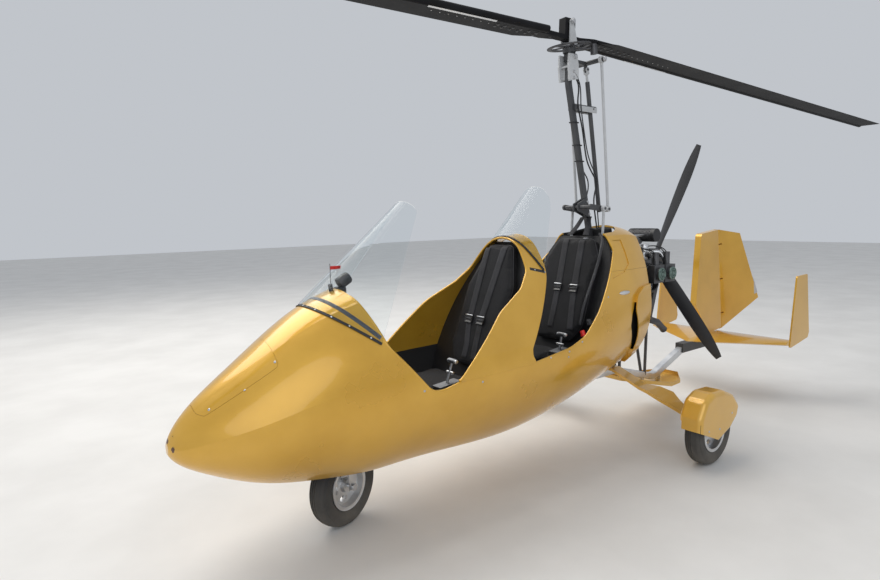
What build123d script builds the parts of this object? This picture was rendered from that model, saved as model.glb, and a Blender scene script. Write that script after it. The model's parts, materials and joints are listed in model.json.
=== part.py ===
from build123d import *
import os
from math import atan2, cos, degrees, hypot, radians, sin

# Two-seat tandem open gyroplane, standing on its three wheels with its stick forward, its nose wheel
# turned to port and its rudder with it. Millimetres. +X forward, +Y to port, +Z up. The origin is on the
# ground, right under the rotor head's tilt pin.

# Pod
WALL = 12.0
SEAM = 1.0
NOSE_SOLID_X = 2420.0
BODY_REAR_X = -455.0
COWL_FRONT_X = 200.0
COWL_SEAM_Z = 1165.0
OVER_Z = 1700.0
BEHIND_X = -900.0
BESIDE_Y = 600.0

# Pod cross-sections, from the nose tip aft. Bottom edge, widest point and shoulder, each as z and
# half-width; the crown is how far the top arc rises over the shoulder.
#     x     bottom z, y    widest z, y    shoulder z, y   crown
BODY = (
    (2480, 572, 8, 598, 20, 620, 8, 3),
    (2462, 545, 24, 600, 58, 652, 22, 7),
    (2400, 500, 52, 618, 122, 722, 42, 14),
    (2250, 428, 90, 662, 214, 832, 78, 22),
    (2050, 368, 130, 722, 292, 962, 120, 34),
    (1800, 332, 158, 772, 344, 1092, 165, 52),
    (1500, 316, 172, 790, 372, 1190, 180, 64),
    (1100, 306, 180, 780, 384, 1260, 170, 70),
    (650, 306, 180, 780, 386, 1315, 160, 74),
    (300, 352, 170, 820, 384, 1350, 172, 70),
    (0, 412, 150, 900, 372, 1368, 190, 66),
    (-250, 462, 120, 960, 345, 1382, 200, 64),
    (-500, 505, 90, 980, 300, 1350, 195, 68),
)
LOWER_FULLNESS = 0.36
UPPER_FULLNESS = 0.22

# Edges of the pod's panels as seen from port, as x, z and the radius of each corner
FRONT_RIM = ((1702, OVER_Z, 0), (1690, 1190, 200), (1608, 942, 180), (1402, 703, 80), (1330, 699, 120),
             (1227, 722, 80))
REAR_RIM = ((715, 731, 80), (420, 768, 300), (285, 815, 200), (150, 935, 250), (-140, 1290, 50), (-150, OVER_Z, 0))
FAIRING = ((1238, 723, 0), (915, 1018, 300), (720, 1122, 120), (625, 1215, 100), (590, 1356, 200),
           (585, OVER_Z, 10), (440, OVER_Z, 10), (495, 1197, 200), (738, 812, 30), (738, 773, 20), (715, 732, 0))
HATCH = ((2377, OVER_Z, 0), (2377, 737, 14), (2352, 731, 14), (2062, 906, 30), (2045, OVER_Z, 0))
RECESS = ((-170, 1352), (-253, 1352), (-240, 1201), (-166, 1153), (-30, 1122), (-95, 1200))
RECESS_DEPTH = 5.0
SCOOP = ((-440, 1060, 0), (-345, 1051, 60), (-250, 1003, 50), (-219, 912, 60), (-345, 610, 60), (-440, 500, 0))
SCOOP_MOUTH = ((-425, 1030, 0), (-345, 1030, 40), (-235, 962, 40), (-196, 880, 50), (-192, 812, 50), (-262, 702, 60),
               (-425, 540, 0))
SCOOP_RISE = 20.0
SCOOP_WALL = 6.0

# Floor with its two seat bases, from the pedals aft: its top face and its underside, each as x, z
FLOOR_Z = 470.0
FLOOR = (
    (2150, FLOOR_Z, 2150, 445),
    (1520, FLOOR_Z, 1480, 445),
    (1475, 559, 1430, 530),
    (825, 580, 865, 546),
    (788, 430, 800, 405),
    (640, 430, 612, 405),
    (600, 607, 562, 578),
    (112, 642, 112, 608),
)
PANEL = ((1640, 905), (1728, 1260), (1746, 1260), (1658, 905))

# Seats: foot and head of the back, front of the cushion, then the back's outline as half-width and
# the shares of its length where it is widest and where its top corners start
CUSHION_GAP = 0.5
BACK_THICKNESS = 55.0
CUSHION_THICKNESS = 70.0
CUSHION_CORNER = 55.0
SHELL_THICKNESS = 16.0
#     name     foot x, z    head x, z     front x, z   half, low share, high share, top share
SEATS = (
    ("front", (855, 579), (539, 1364), (1440, 560), 205, 0.22, 0.66, 0.52),
    ("rear", (140, 640), (-140, 1378), (560, 610), 228, 0.22, 0.80, 0.66),
)
# Throttle quadrants beside the seats: console x, then lever foot and head x, z
QUADRANT_Y = (238, 300)
QUADRANTS = (
    ((1165, 1300), 560, 700, (1240, 690), (1195, 800)),
    ((345, 450), 618, 742, (395, 735), (370, 822)),
)
# Control sticks: foot and head, x, z
STICKS = (((1472, 540), (1442, 850)), ((650, 425), (604, 860)))

# Screens, bent round one axis. Base middle and base corner x, z, base half-width, then top middle x, z,
# top depth and half-width
SCREEN_THICKNESS = 3.0
SCREENS = (
    ("front_windshield", (1845, 1115), (1635, 954), 317, (1303, 1597), 50, 100),
    ("rear_windshield", (600, 1390), (470, 1200), 260, (325, 1690), 60, 120),
)

# Keel, mast and gear
KEEL_SIZE = 50.0
KEEL_LINE = ((-200, 405), (-500, 405), (-1000, 268), (-1420, 425), (-1500, 425))
KEEL_BEND = 140.0
KEEL_POST = (-262, -212, 20, 480)
MAST_LONG = 44.0
MAST_WIDE = 28.0
MAST_CORNER = 7.0
MAST_FOOT = (-441.0, 445.0)
MAST_BEND = (10.0, 2335.0)
MAST_TOP = (10.0, 2425.0)
MAST_BEND_RADIUS = 120.0
TYRE_RADIUS = 204.0
TYRE_HALF_WIDTH = 52.0
TYRE_SHOULDER = (42.0, 190.0)
TYRE_BULGE_RADIUS = 155.0
RIM_RADIUS = 108.0
RIM_HALF_WIDTH = 38.0
RIM_WALL = 6.0
FLANGE_RADIUS = 119.0
FLANGE_THICKNESS = 6.0
RIM_HOLE_RADIUS = 17.0
RIM_HOLE_CIRCLE = 68.0
RIM_HOLES = 5
HUB_RADIUS = 32.0
HUB_HALF_WIDTH = 36.0
AXLE_RADIUS = 10.0
TOW_BORE_RADIUS = 5.0
RUNNING_GAP = 0.05
CLEAR_GAP = 6.0
STEER_X = 1705.0
NOSE_TRAIL = 20.0
NOSE_AXLE = (STEER_X - NOSE_TRAIL, 0.0, TYRE_RADIUS)
NOSE_STEER = 20.0
STEER_TUBE_RADIUS = 18.0
STEER_HEAD_RADIUS = 34.0
STEER_HEAD_TOP = 570.0
FORK_PLATE = 8.0
FORK_HALF = TYRE_HALF_WIDTH + CLEAR_GAP + 2
FORK_TOP_Z = 2 * TYRE_RADIUS + 14
BELLY_SLOT = (1695.0, 520.0, 270.0)
MAIN_AXLE_X = -375.0
MAIN_TRACK_HALF = 780.0
FAIRING_ROOM = TYRE_HALF_WIDTH + 2 * CLEAR_GAP
FAIRING_WALL = 8.0
FAIRING_EDGE = 30.0
AXLE_PLATE_ROOM = 14.0
BOW_END = MAIN_TRACK_HALF - TYRE_HALF_WIDTH - AXLE_PLATE_ROOM - 10
BOW_THICKNESS = 20.0
BOW_TOP_Z = KEEL_LINE[0][1] + KEEL_SIZE / 2 + BOW_THICKNESS / 2
# Gear leaf: share of its half-span, height of its middle, x of its front and rear edges
BOW = (
    (0.0, BOW_TOP_Z, -388, -480),
    (0.10, BOW_TOP_Z, -388, -480),
    (0.41, 356, -386, -488),
    (0.50, 341, -386, -545),
    (0.61, 313, -387, -580),
    (0.71, 291, -389, -530),
    (0.89, 248, -394, -462),
    (1.0, 226, -396, -458),
)
AXLE_PLATE = ((-462, 176), (-345, 262))
# Side outline of a wheel fairing, from its front lower corner over the top, as x, z and corner radius
WHEEL_FAIRING = (
    (-160, 252, 0), (-160, 330, 40), (-215, 428, 60), (-300, 463, 90), (-430, 457, 90), (-545, 412, 80),
    (-622, 330, 40), (-600, 262, 30), (-520, 198, 40), (-394, 155, 0),
)
FAIRING_OPEN_Z = 300.0

# Tray under the engine and the keel, with turned-up sides
TRAY_WALL = 3.0
TRAY_LIP = 26.0
TRAY_LINE = ((-465, 350), (-990, 226), (-1250, 246))
TRAY_PLAN = ((-465, 95), (-800, 165), (-1100, 180), (-1250, 70))

# Engine and propeller
PROP_HUB = (-985.0, 0.0, 1188.0)
PROP_RADIUS = 860.0
PROP_PHASE = 22.3
PROP_BLADES = 3
PROP_HUB_RADIUS = 62.0
# Propeller blade: share of the radius, chord, pitch and thickness
BLADE_STATIONS = ((0.047, 60, 40, 34), (0.174, 84, 34, 22), (0.465, 95, 22, 14), (0.814, 86, 14, 9), (1.0, 42, 11, 5))
CRANKCASE = ((-820, -105, 960), (-430, 105, 1190))
GEARBOX = ((-925, -75, 1030), (-815, 75, 1262))
CYLINDERS = ((-596, 1), (-728, 1), (-566, -1), (-698, -1))
CYLINDER_Z = 1108.0
CYLINDER_RADIUS = 50.0
FIN_RADIUS = 60.0
FIN_COUNT = 7
FIN_PITCH = 18.0
FIN_THICKNESS = 5.0
FIN_FIRST_Y = 112.0
HEAD_Y = (240.0, 292.0)
HEAD_COVER_RADIUS = 45.0
MANIFOLD_RADIUS = 18.0
INTAKE_BACK = 20.0
INTAKE_Z = 1232.0
AIRBOX_X = -720.0
AIRBOX_RADIUS = 50.0
AIRBOX_TOP_Z = 1304.0
FILTER = ((-780, -60, 1364), (-780, 150, 1364), 46)
EXHAUST_RADIUS = 24.0
EXHAUST_BEND = 60.0
EXHAUST = ((-600, 190, 1000), (-640, 190, 900), (-704, 150, 768), (-812, 150, 735), (-901, 150, 669))
STRUTS = (((-880, 14, 300), (-790, 85, 980)), ((-560, 14, 385), (-470, 85, 980)))
STRUT_RADIUS = 11.0

# Tail
STAB_Z = 470.0
STAB_TE_X = -2035.0
STAB_HALF_SPAN = 585.0
STAB_SECTIONS = ((-1.0, -1930, 26), (0.0, -1500, 64), (1.0, -1930, 26))
STAB_TAIL_RISE = 20.0
END_PLATE = ((-1990, 432), (-2330, 478), (-2350, 520), (-2256, 1010), (-2060, 1004))
END_PLATE_CORNER = 18.0
END_PLATE_HALF = 6.0
BRACKET = ((-1780, -34, 396), (-1385, 34, 470))
HINGE_LOW = (-2041.0, 528.0)
HINGE_TOP = (-1922.0, 1378.0)
HINGE_SHARES = (0.15, 0.50, 0.85)
HINGE_PIN_RADIUS = 4.0
LUG_THICKNESS = 8.0
RUDDER_NOSE = 26.0
RUDDER_SWING = -21.0
# Rudder outline: distance aft of the hinge and height along it
RUDDER = ((-30, -20), (0, -4), (415, 185), (222, 790), (0, 854), (-30, 860))
RUDDER_TAIL = 470.0
FIN = ((-1783, 500), (-1576, 763), (-1623, 1345))
FIN_CORNER = 35.0

# Rotor head and rotor
PIVOT_Z = 2490.0
PIVOT_PIN_RADIUS = 10.0
HEAD_HALF = 26.0
CHEEK_THICKNESS = 12.0
CHEEK = ((-48, -130), (38, -150), (50, -60), (44, 14), (-30, 14), (-44, -40))
SHAFT_TILT = -7.0
DISC_TILT = 1.85
ROTOR_YAW = -4.8
SHAFT_RADIUS = 15.0
HOUSING_RADIUS = 40.0
HOUSING = (30.0, 56.0)
TORQUE_ARM = (-150.0, -16.0)
T_BAR_RADIUS = 14.0
RING_GEAR_RADIUS = 132.0
RING_GEAR_RISE = 62.0
RING_GEAR_THICKNESS = 8.0
RING_GEAR_SPOKES = 6
PINION_ROOM = 24.0
TOWER_HALF_GAP = 34.0
TOWER_THICKNESS = 8.0
TOWER_BASE_HALF = 33.0
TOWER_TOP_HALF = 15.0
HUB_FLANGE_RADIUS = 30.0
TEETER_RISE = 205.0
TEETER_PIN_RADIUS = 8.0
HUB_BAR_DROP = 92.0
HUB_BAR_LENGTH = 560.0
HUB_BAR_WIDTH = 56.0
HUB_BAR_THICKNESS = 26.0
HUB_PLATE_START = 90.0
HUB_PLATE_TRAIL = 60.0
ROTOR_RADIUS = 4200.0
BLADE_CHORD = 200.0
BLADE_LEAD = 79.0
BLADE_THICKNESS = 24.0
BLADE_ROOT = 210.0
BLADE_DROOP = 1.35
BLADE_PITCH = 3.5
BLADE_CUT = (130.0, 55.0)

# Rods from the head down to the levers on the mast, and the trim cylinder between them
ROD_SPREAD = 128.0
ROD_RADIUS = 9.0
ROD_LOW = (-240.0, 1550.0)
ROD_EYE_RADIUS = 18.0
LEVER_SPREAD = ROD_SPREAD - 22
LEVER_PIN_RADIUS = 8.0
IDLER_TUBE_RADIUS = 12.0
LEVER_WIDTH = 36.0
LOWER_PIN_BACK = 42.0
LOWER_END = (-182.0, 1290.0)
TRIM_EYE = (-163.0, 2440.0)
TRIM_TRUNNION = (-205.0, 2194.0)
TRIM_LENGTH = 920.0
TRIM_MOUTH = 75.0
TRIM_DEPTH = 80.0
TRIM_TRAVEL = 38.0
TRIM_PIN_RADIUS = 6.0
TRIM_EYE_PLAY = 3.0
TRIM_TUBE_RADIUS = 14.0
TRIM_ROD_RADIUS = 8.0

os.makedirs("parts", exist_ok=True)
SIDE = Plane(origin=(0, 0, 0), x_dir=(1, 0, 0), z_dir=(0, -1, 0))


def save(piece, label):
    """Name a finished piece and write it to its own file."""
    piece.part.label = label
    export_step(piece.part, f"parts/{label}.step")


def bulged(start, end, corner, fullness):
    """The point that an arc from start to end passes, pulled towards a corner."""
    middle = ((start[0] + end[0]) / 2, (start[1] + end[1]) / 2)
    return tuple(m + fullness * (c - m) for m, c in zip(middle, corner))


def draw_body_section(row, inset):
    """One closed cross-section of the pod, its skin moved inwards by the inset."""
    _, low_z, low_y, wide_z, wide_y, high_z, high_y, crown = row
    low = (low_y - inset / 2, low_z + inset)
    wide = (wide_y - inset, wide_z)
    high = (high_y - inset / 2, high_z - inset)
    lower = bulged(low, wide, (wide[0], low[1]), LOWER_FULLNESS)
    upper = bulged(wide, high, (wide[0], high[1]), UPPER_FULLNESS)
    with BuildLine() as outline:
        Line((-low[0], low[1]), low)
        ThreePointArc(low, lower, wide)
        ThreePointArc(wide, upper, high)
        ThreePointArc(high, (0, high[1] + crown), (-high[0], high[1]))
        ThreePointArc((-high[0], high[1]), (-upper[0], upper[1]), (-wide[0], wide[1]))
        ThreePointArc((-wide[0], wide[1]), (-lower[0], lower[1]), (-low[0], low[1]))
    make_face(outline.edges())


def draw_side_profile(points):
    """A closed outline seen from port."""
    with BuildLine() as outline:
        Polyline(*points, close=True)
    make_face(outline.edges())


def draw_rounded_profile(rows):
    """A closed outline seen from port; each row is x, z and the corner's radius, with sharp ends."""
    with BuildLine() as outline:
        path = FilletPolyline(*((x, z) for x, z, _ in rows), radius=[radius for *_, radius in rows[1:-1]])
        Line(path @ 1, path @ 0)
    make_face(outline.edges())


def body_loft(inset, rows):
    """The pod's form between its sections, with the skin moved inwards by the inset."""
    with BuildPart() as form:
        for row in rows:
            with BuildSketch(Plane.YZ.offset(row[0])):
                draw_body_section(row, inset)
        loft()
    return form


def straight_rod(start, end, radius, mode=Mode.ADD):
    """A round rod from one point to another."""
    along = Vector(*end) - Vector(*start)
    with BuildSketch(Plane(origin=start, z_dir=along)) as section:
        Circle(radius)
    extrude(section.sketch, amount=along.length, mode=mode)


def bent_tube(points, radius, bend):
    """A round tube whose straight runs are joined by arcs."""
    with BuildLine() as route:
        FilletPolyline(*points, radius=bend)
    with BuildSketch(Plane(origin=route.line @ 0, z_dir=route.line % 0)) as section:
        Circle(radius)
    sweep(section.sketch, path=route.line)


def box_between(low, high, mode=Mode.ADD):
    """A box between two opposite corners."""
    with Locations([tuple((a + b) / 2 for a, b in zip(low, high))]):
        Box(*(abs(b - a) for a, b in zip(low, high)), mode=mode)


def cross_bore(x, z, radius):
    """A hole right across, along Y."""
    with BuildSketch(Plane(origin=(x, -BESIDE_Y, z), z_dir=(0, 1, 0))) as section:
        Circle(radius)
    extrude(section.sketch, amount=2 * BESIDE_Y, mode=Mode.SUBTRACT)


hollow_rows = [row for row in BODY if row[0] < NOSE_SOLID_X]
aft_rows = BODY[-4:]
body_outer = body_loft(0, BODY)
body_inner = body_loft(WALL, hollow_rows)
body_liner = body_loft(WALL + SEAM, hollow_rows)

with BuildPart() as body_shell:
    add(body_outer.part)
    add(body_inner.part, mode=Mode.SUBTRACT)
    with BuildSketch(SIDE):
        draw_side_profile(((BODY_REAR_X, 0), (BODY_REAR_X, OVER_Z), (BEHIND_X, OVER_Z), (BEHIND_X, 0)))
    extrude(amount=BESIDE_Y, both=True, mode=Mode.SUBTRACT)

# The skin with the cockpits cut out of it, and the shallow panel pressed into each side of its aft end
with BuildPart() as open_shell:
    add(body_shell.part)
    with BuildSketch(SIDE):
        draw_rounded_profile(FRONT_RIM + REAR_RIM)
    extrude(amount=BESIDE_Y, both=True, mode=Mode.SUBTRACT)
    with BuildPart(mode=Mode.SUBTRACT):
        with BuildSketch(SIDE):
            draw_side_profile(RECESS)
        extrude(amount=BESIDE_Y, both=True)
        add(body_loft(RECESS_DEPTH, aft_rows).part, mode=Mode.SUBTRACT)

# Air scoops: a hood that stands proud on each side, with its mouth cut through the skin under it
with BuildPart() as mouths:
    add(body_loft(SCOOP_WALL - SCOOP_RISE, aft_rows).part)
    with BuildSketch(SIDE):
        draw_rounded_profile(SCOOP_MOUTH)
    extrude(amount=BESIDE_Y, both=True, mode=Mode.INTERSECT)
with BuildPart() as scoops:
    add(body_loft(-SCOOP_RISE, aft_rows).part)
    with BuildSketch(SIDE):
        draw_rounded_profile(SCOOP)
    extrude(amount=BESIDE_Y, both=True, mode=Mode.INTERSECT)
    add(body_inner.part, mode=Mode.SUBTRACT)

# Hull: one moulding from the nose to the open engine bay
slot_x, slot_length, slot_width = BELLY_SLOT
with BuildPart() as hull:
    add(open_shell.part)
    add(scoops.part)
    add(mouths.part, mode=Mode.SUBTRACT)
    with BuildSketch(SIDE):
        draw_side_profile(((COWL_FRONT_X, COWL_SEAM_Z), (COWL_FRONT_X, OVER_Z), (BEHIND_X, OVER_Z),
                           (BEHIND_X, COWL_SEAM_Z)))
    extrude(amount=BESIDE_Y, both=True, mode=Mode.SUBTRACT)
    with BuildSketch(SIDE):
        draw_rounded_profile(HATCH)
        offset(amount=SEAM)
    extrude(amount=BESIDE_Y, both=True, mode=Mode.SUBTRACT)
    with BuildSketch(Plane.XY):
        with Locations((slot_x, 0)):
            SlotOverall(slot_length, slot_width)
    extrude(amount=FLOOR_Z, mode=Mode.SUBTRACT)
    box_between((BODY_REAR_X - 80, -MAST_WIDE, 0), (BODY_REAR_X + 80, MAST_WIDE, 700), mode=Mode.SUBTRACT)
save(hull, "hull")

# Lid over the nose
with BuildPart() as nose_hatch:
    add(body_shell.part)
    with BuildSketch(SIDE):
        draw_rounded_profile(HATCH)
    extrude(amount=BESIDE_Y, both=True, mode=Mode.INTERSECT)
save(nose_hatch, "nose_hatch")

# Fairing of the front seat back, with the wings that run down to the rim
with BuildPart() as seat_fairing:
    add(body_shell.part)
    with BuildSketch(SIDE):
        draw_rounded_profile(FAIRING)
    extrude(amount=BESIDE_Y, both=True, mode=Mode.INTERSECT)
save(seat_fairing, "seat_fairing")

# Top cowl behind the rear seat, open round the mast and the rods
with BuildPart() as engine_cowl:
    add(open_shell.part)
    box_between((BEHIND_X, -BESIDE_Y, COWL_SEAM_Z + SEAM), (COWL_FRONT_X, BESIDE_Y, OVER_Z), mode=Mode.INTERSECT)
    with BuildSketch(Plane.XY.offset(COWL_SEAM_Z + 60)):
        with Locations((-165, 0)):
            SlotOverall(420, 340)
    extrude(amount=OVER_Z, mode=Mode.SUBTRACT)
save(engine_cowl, "engine_cowl")

# Floor with the two seat bases
with BuildPart() as cockpit_floor:
    add(body_liner.part)
    with BuildSketch(SIDE):
        draw_side_profile([(x, z) for x, z, _, _ in FLOOR] + [(x, z) for _, _, x, z in reversed(FLOOR)])
    extrude(amount=BESIDE_Y, both=True, mode=Mode.INTERSECT)
    with BuildSketch(Plane.XY):
        with Locations((STEER_X, 0)):
            Circle(STEER_TUBE_RADIUS + CLEAR_GAP)
    extrude(amount=STEER_HEAD_TOP, mode=Mode.SUBTRACT)
save(cockpit_floor, "cockpit_floor")

# Instrument panel under the hood
with BuildPart() as instrument_panel:
    add(body_liner.part)
    with BuildSketch(SIDE):
        draw_side_profile(PANEL)
    extrude(amount=BESIDE_Y, both=True, mode=Mode.INTERSECT)
save(instrument_panel, "instrument_panel")

# Seats: for each the shell that carries it, a back cushion and a seat cushion
for name, foot, head, front, half, low_share, high_share, top_share in SEATS:
    slope = atan2(head[1] - foot[1], head[0] - foot[0])
    length = hypot(head[0] - foot[0], head[1] - foot[1])
    forward = (sin(slope), -cos(slope))
    with BuildPart() as seat_back:
        with BuildSketch(Plane(origin=(foot[0], 0, foot[1]), x_dir=(0, 1, 0),
                               z_dir=(forward[0], 0, forward[1])).offset(CUSHION_GAP)):
            right = ((0.66 * half, 0.08 * length), (half, low_share * length), (half, high_share * length),
                     (top_share * half, 0.98 * length))
            with BuildLine():
                Polyline(*right, *((-y, rise) for y, rise in reversed(right)), close=True)
            make_face()
            fillet(vertices(), CUSHION_CORNER)
        extrude(amount=BACK_THICKNESS)
    save(seat_back, f"{name}_seat_back")
    base = atan2(front[1] - foot[1], front[0] - foot[0])
    reach = hypot(front[1] - foot[1], front[0] - foot[0])
    with BuildPart() as seat_cushion:
        with BuildSketch(Plane(origin=(foot[0], 0, foot[1]), x_dir=(cos(base), 0, sin(base)),
                               z_dir=(-sin(base), 0, cos(base))).offset(CUSHION_GAP)):
            with BuildLine():
                Polyline((100, -half + 20), (reach - 50, -half + 32), (reach - 50, half - 32), (100, half - 20),
                         close=True)
            make_face()
            fillet(vertices(), CUSHION_CORNER)
        extrude(amount=CUSHION_THICKNESS)
    save(seat_cushion, f"{name}_seat_cushion")
    with BuildPart() as seat_shell:
        add(body_liner.part)
        with BuildSketch(SIDE):
            low = (foot[0] - 6 * cos(slope), foot[1] - 6 * sin(slope))
            behind = (forward[0] * SHELL_THICKNESS, forward[1] * SHELL_THICKNESS)
            draw_side_profile((low, head, (head[0] - behind[0], head[1] - behind[1]),
                               (low[0] - behind[0], low[1] - behind[1])))
        extrude(amount=BESIDE_Y, both=True, mode=Mode.INTERSECT)
        add(cockpit_floor.part, mode=Mode.SUBTRACT)
    save(seat_shell, f"{name}_seat_shell")

# Throttle quadrants beside the seats, and the control sticks
with BuildPart() as cockpit_levers:
    low_y, high_y = QUADRANT_Y
    for (aft_x, fore_x), low_z, high_z, lever_foot, lever_head in QUADRANTS:
        with BuildSketch(SIDE.offset(-high_y)):
            draw_side_profile(((aft_x, low_z - 20), (fore_x, low_z - 20), (fore_x, high_z - 12), (aft_x, high_z)))
        extrude(amount=high_y - low_y)
        middle = (low_y + high_y) / 2
        straight_rod((lever_foot[0], middle, lever_foot[1] - 20), (lever_head[0], middle, lever_head[1]), 7)
        straight_rod((lever_head[0], middle - 24, lever_head[1]), (lever_head[0], middle + 24, lever_head[1]), 13)
    for stick_foot, stick_head in STICKS:
        straight_rod((stick_foot[0], 0, stick_foot[1]), (stick_head[0], 0, stick_head[1]), 10)
        lean = ((stick_head[0] - stick_foot[0]) * 0.25, 0, (stick_head[1] - stick_foot[1]) * 0.25)
        straight_rod((stick_head[0] - lean[0], 0, stick_head[1] - lean[2]),
                     (stick_head[0] + lean[0] * 0.3, 0, stick_head[1] + lean[2] * 0.3), 17)
    add(cockpit_floor.part, mode=Mode.SUBTRACT)
save(cockpit_levers, "cockpit_levers")

# Screens
for name, base, corner, base_half, top, top_depth, top_half in SCREENS:
    base_depth = hypot(corner[0] - base[0], corner[1] - base[1])
    back = ((corner[0] - base[0]) / base_depth, (corner[1] - base[1]) / base_depth)
    below = 0.09
    stations = (
        (-below, base_half + below * (base_half - top_half), base_depth + below * (base_depth - top_depth)),
        (1, top_half, top_depth),
    )
    with BuildPart() as screen:
        for share, half, depth in stations:
            centre = (base[0] + share * (top[0] - base[0]), 0, base[1] + share * (top[1] - base[1]))
            with BuildSketch(Plane(origin=centre, x_dir=(0, 1, 0), z_dir=(back[1], 0, -back[0]))):
                with BuildLine():
                    ThreePointArc((-half, depth), (0, 0), (half, depth))
                    Line((half, depth), (half - SCREEN_THICKNESS, depth))
                    ThreePointArc((half - SCREEN_THICKNESS, depth), (0, SCREEN_THICKNESS),
                                  (SCREEN_THICKNESS - half, depth))
                    Line((SCREEN_THICKNESS - half, depth), (-half, depth))
                make_face()
        loft()
        add(body_outer.part, mode=Mode.SUBTRACT)
    save(screen, name)

# Keel tube, from under the rear seat to the tailplane
with BuildPart() as keel:
    with BuildLine() as keel_line:
        FilletPolyline(*((x, 0, z) for x, z in KEEL_LINE), radius=KEEL_BEND)
    with BuildSketch(Plane(origin=keel_line.line @ 0, x_dir=(0, 1, 0), z_dir=keel_line.line % 0)):
        RectangleRounded(KEEL_SIZE, KEEL_SIZE, 6)
    sweep()
    post_aft, post_fore, post_half, post_top = KEEL_POST
    box_between((post_aft, -post_half, KEEL_LINE[0][1]), (post_fore, post_half, post_top))
    add(body_outer.part, mode=Mode.SUBTRACT)
save(keel, "keel")

# Gear leaf across the keel, wider behind the middle of each leg
with BuildPart() as gear_bow:
    half_line = [(share * BOW_END, z) for share, z, _, _ in BOW]
    whole = [(-y, z) for y, z in reversed(half_line[1:])] + half_line
    with BuildSketch(Plane.YZ.offset(BOW[4][3] - 20)):
        with BuildLine():
            Polyline(*((y, z + BOW_THICKNESS / 2) for y, z in whole),
                     *((y, z - BOW_THICKNESS / 2) for y, z in reversed(whole)), close=True)
        make_face()
    extrude(amount=BOW[0][2] - BOW[4][3] + 40)
    fore_edge = [(x, share * BOW_END) for share, _, x, _ in BOW]
    aft_edge = [(x, share * BOW_END) for share, _, _, x in BOW]
    port = fore_edge[1:] + aft_edge[:0:-1]
    with BuildSketch(Plane.XY):
        with BuildLine():
            Polyline(*port, *((x, -y) for x, y in reversed(port)), close=True)
        make_face()
    extrude(amount=BOW_TOP_Z + 100, mode=Mode.INTERSECT)
save(gear_bow, "gear_bow")

# Mast, bent upright under the rotor head, with the bracket of the rod levers and that of the trim cylinder
PIVOT = Vector(0, 0, PIVOT_Z)
rod_top = Vector(TORQUE_ARM[0], 0, PIVOT_Z + TORQUE_ARM[1])
rod_low = Vector(ROD_LOW[0], 0, ROD_LOW[1])
idler_pivot = rod_low - (rod_top - PIVOT)
lean = atan2(MAST_BEND[0] - MAST_FOOT[0], MAST_BEND[1] - MAST_FOOT[1])


def mast_x(z):
    """Where the mast's middle line is at a height below its bend."""
    return MAST_FOOT[0] + (z - MAST_FOOT[1]) * (MAST_BEND[0] - MAST_FOOT[0]) / (MAST_BEND[1] - MAST_FOOT[1])


with BuildPart() as mast:
    with BuildLine() as mast_line:
        FilletPolyline((MAST_FOOT[0], 0, MAST_FOOT[1]), (MAST_BEND[0], 0, MAST_BEND[1]),
                       (MAST_TOP[0], 0, MAST_TOP[1]), radius=MAST_BEND_RADIUS)
    with BuildSketch(Plane(origin=(MAST_FOOT[0], 0, MAST_FOOT[1]), x_dir=(0, 1, 0), z_dir=(sin(lean), 0, cos(lean)))):
        RectangleRounded(MAST_WIDE, MAST_LONG, MAST_CORNER)
    sweep()
    for sign in (1, -1):
        with BuildSketch(SIDE.offset(-sign * MAST_WIDE / 2)):
            nose_x = idler_pivot.X + 20
            low_z, high_z = idler_pivot.Z - 70, idler_pivot.Z + 60
            draw_side_profile(((mast_x(low_z), low_z), (nose_x, low_z + 48), (nose_x, high_z - 38),
                               (mast_x(high_z), high_z)))
        extrude(amount=-8 * sign)
    trunnion_x, trunnion_z = TRIM_TRUNNION
    for sign in (1, -1):
        box_between((trunnion_x - 30, sign * (TRIM_TUBE_RADIUS + CLEAR_GAP), trunnion_z - 17),
                    (mast_x(trunnion_z), sign * (TRIM_TUBE_RADIUS + CLEAR_GAP + 8), trunnion_z + 17))
    box_between((mast_x(trunnion_z) - 50, -TRIM_TUBE_RADIUS - CLEAR_GAP - 1, trunnion_z - 17),
                (mast_x(trunnion_z), TRIM_TUBE_RADIUS + CLEAR_GAP + 1, trunnion_z + 17))
    cross_bore(idler_pivot.X, idler_pivot.Z, IDLER_TUBE_RADIUS + RUNNING_GAP)
    cross_bore(trunnion_x, trunnion_z, TRIM_PIN_RADIUS + RUNNING_GAP)
    add(gear_bow.part, mode=Mode.SUBTRACT)
save(mast, "mast")


def steered(shape):
    """A piece of the nose gear turned about the steering tube to where it is parked."""
    return shape.rotate(Axis((STEER_X, 0, 0), (0, 0, 1)), NOSE_STEER)


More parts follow.
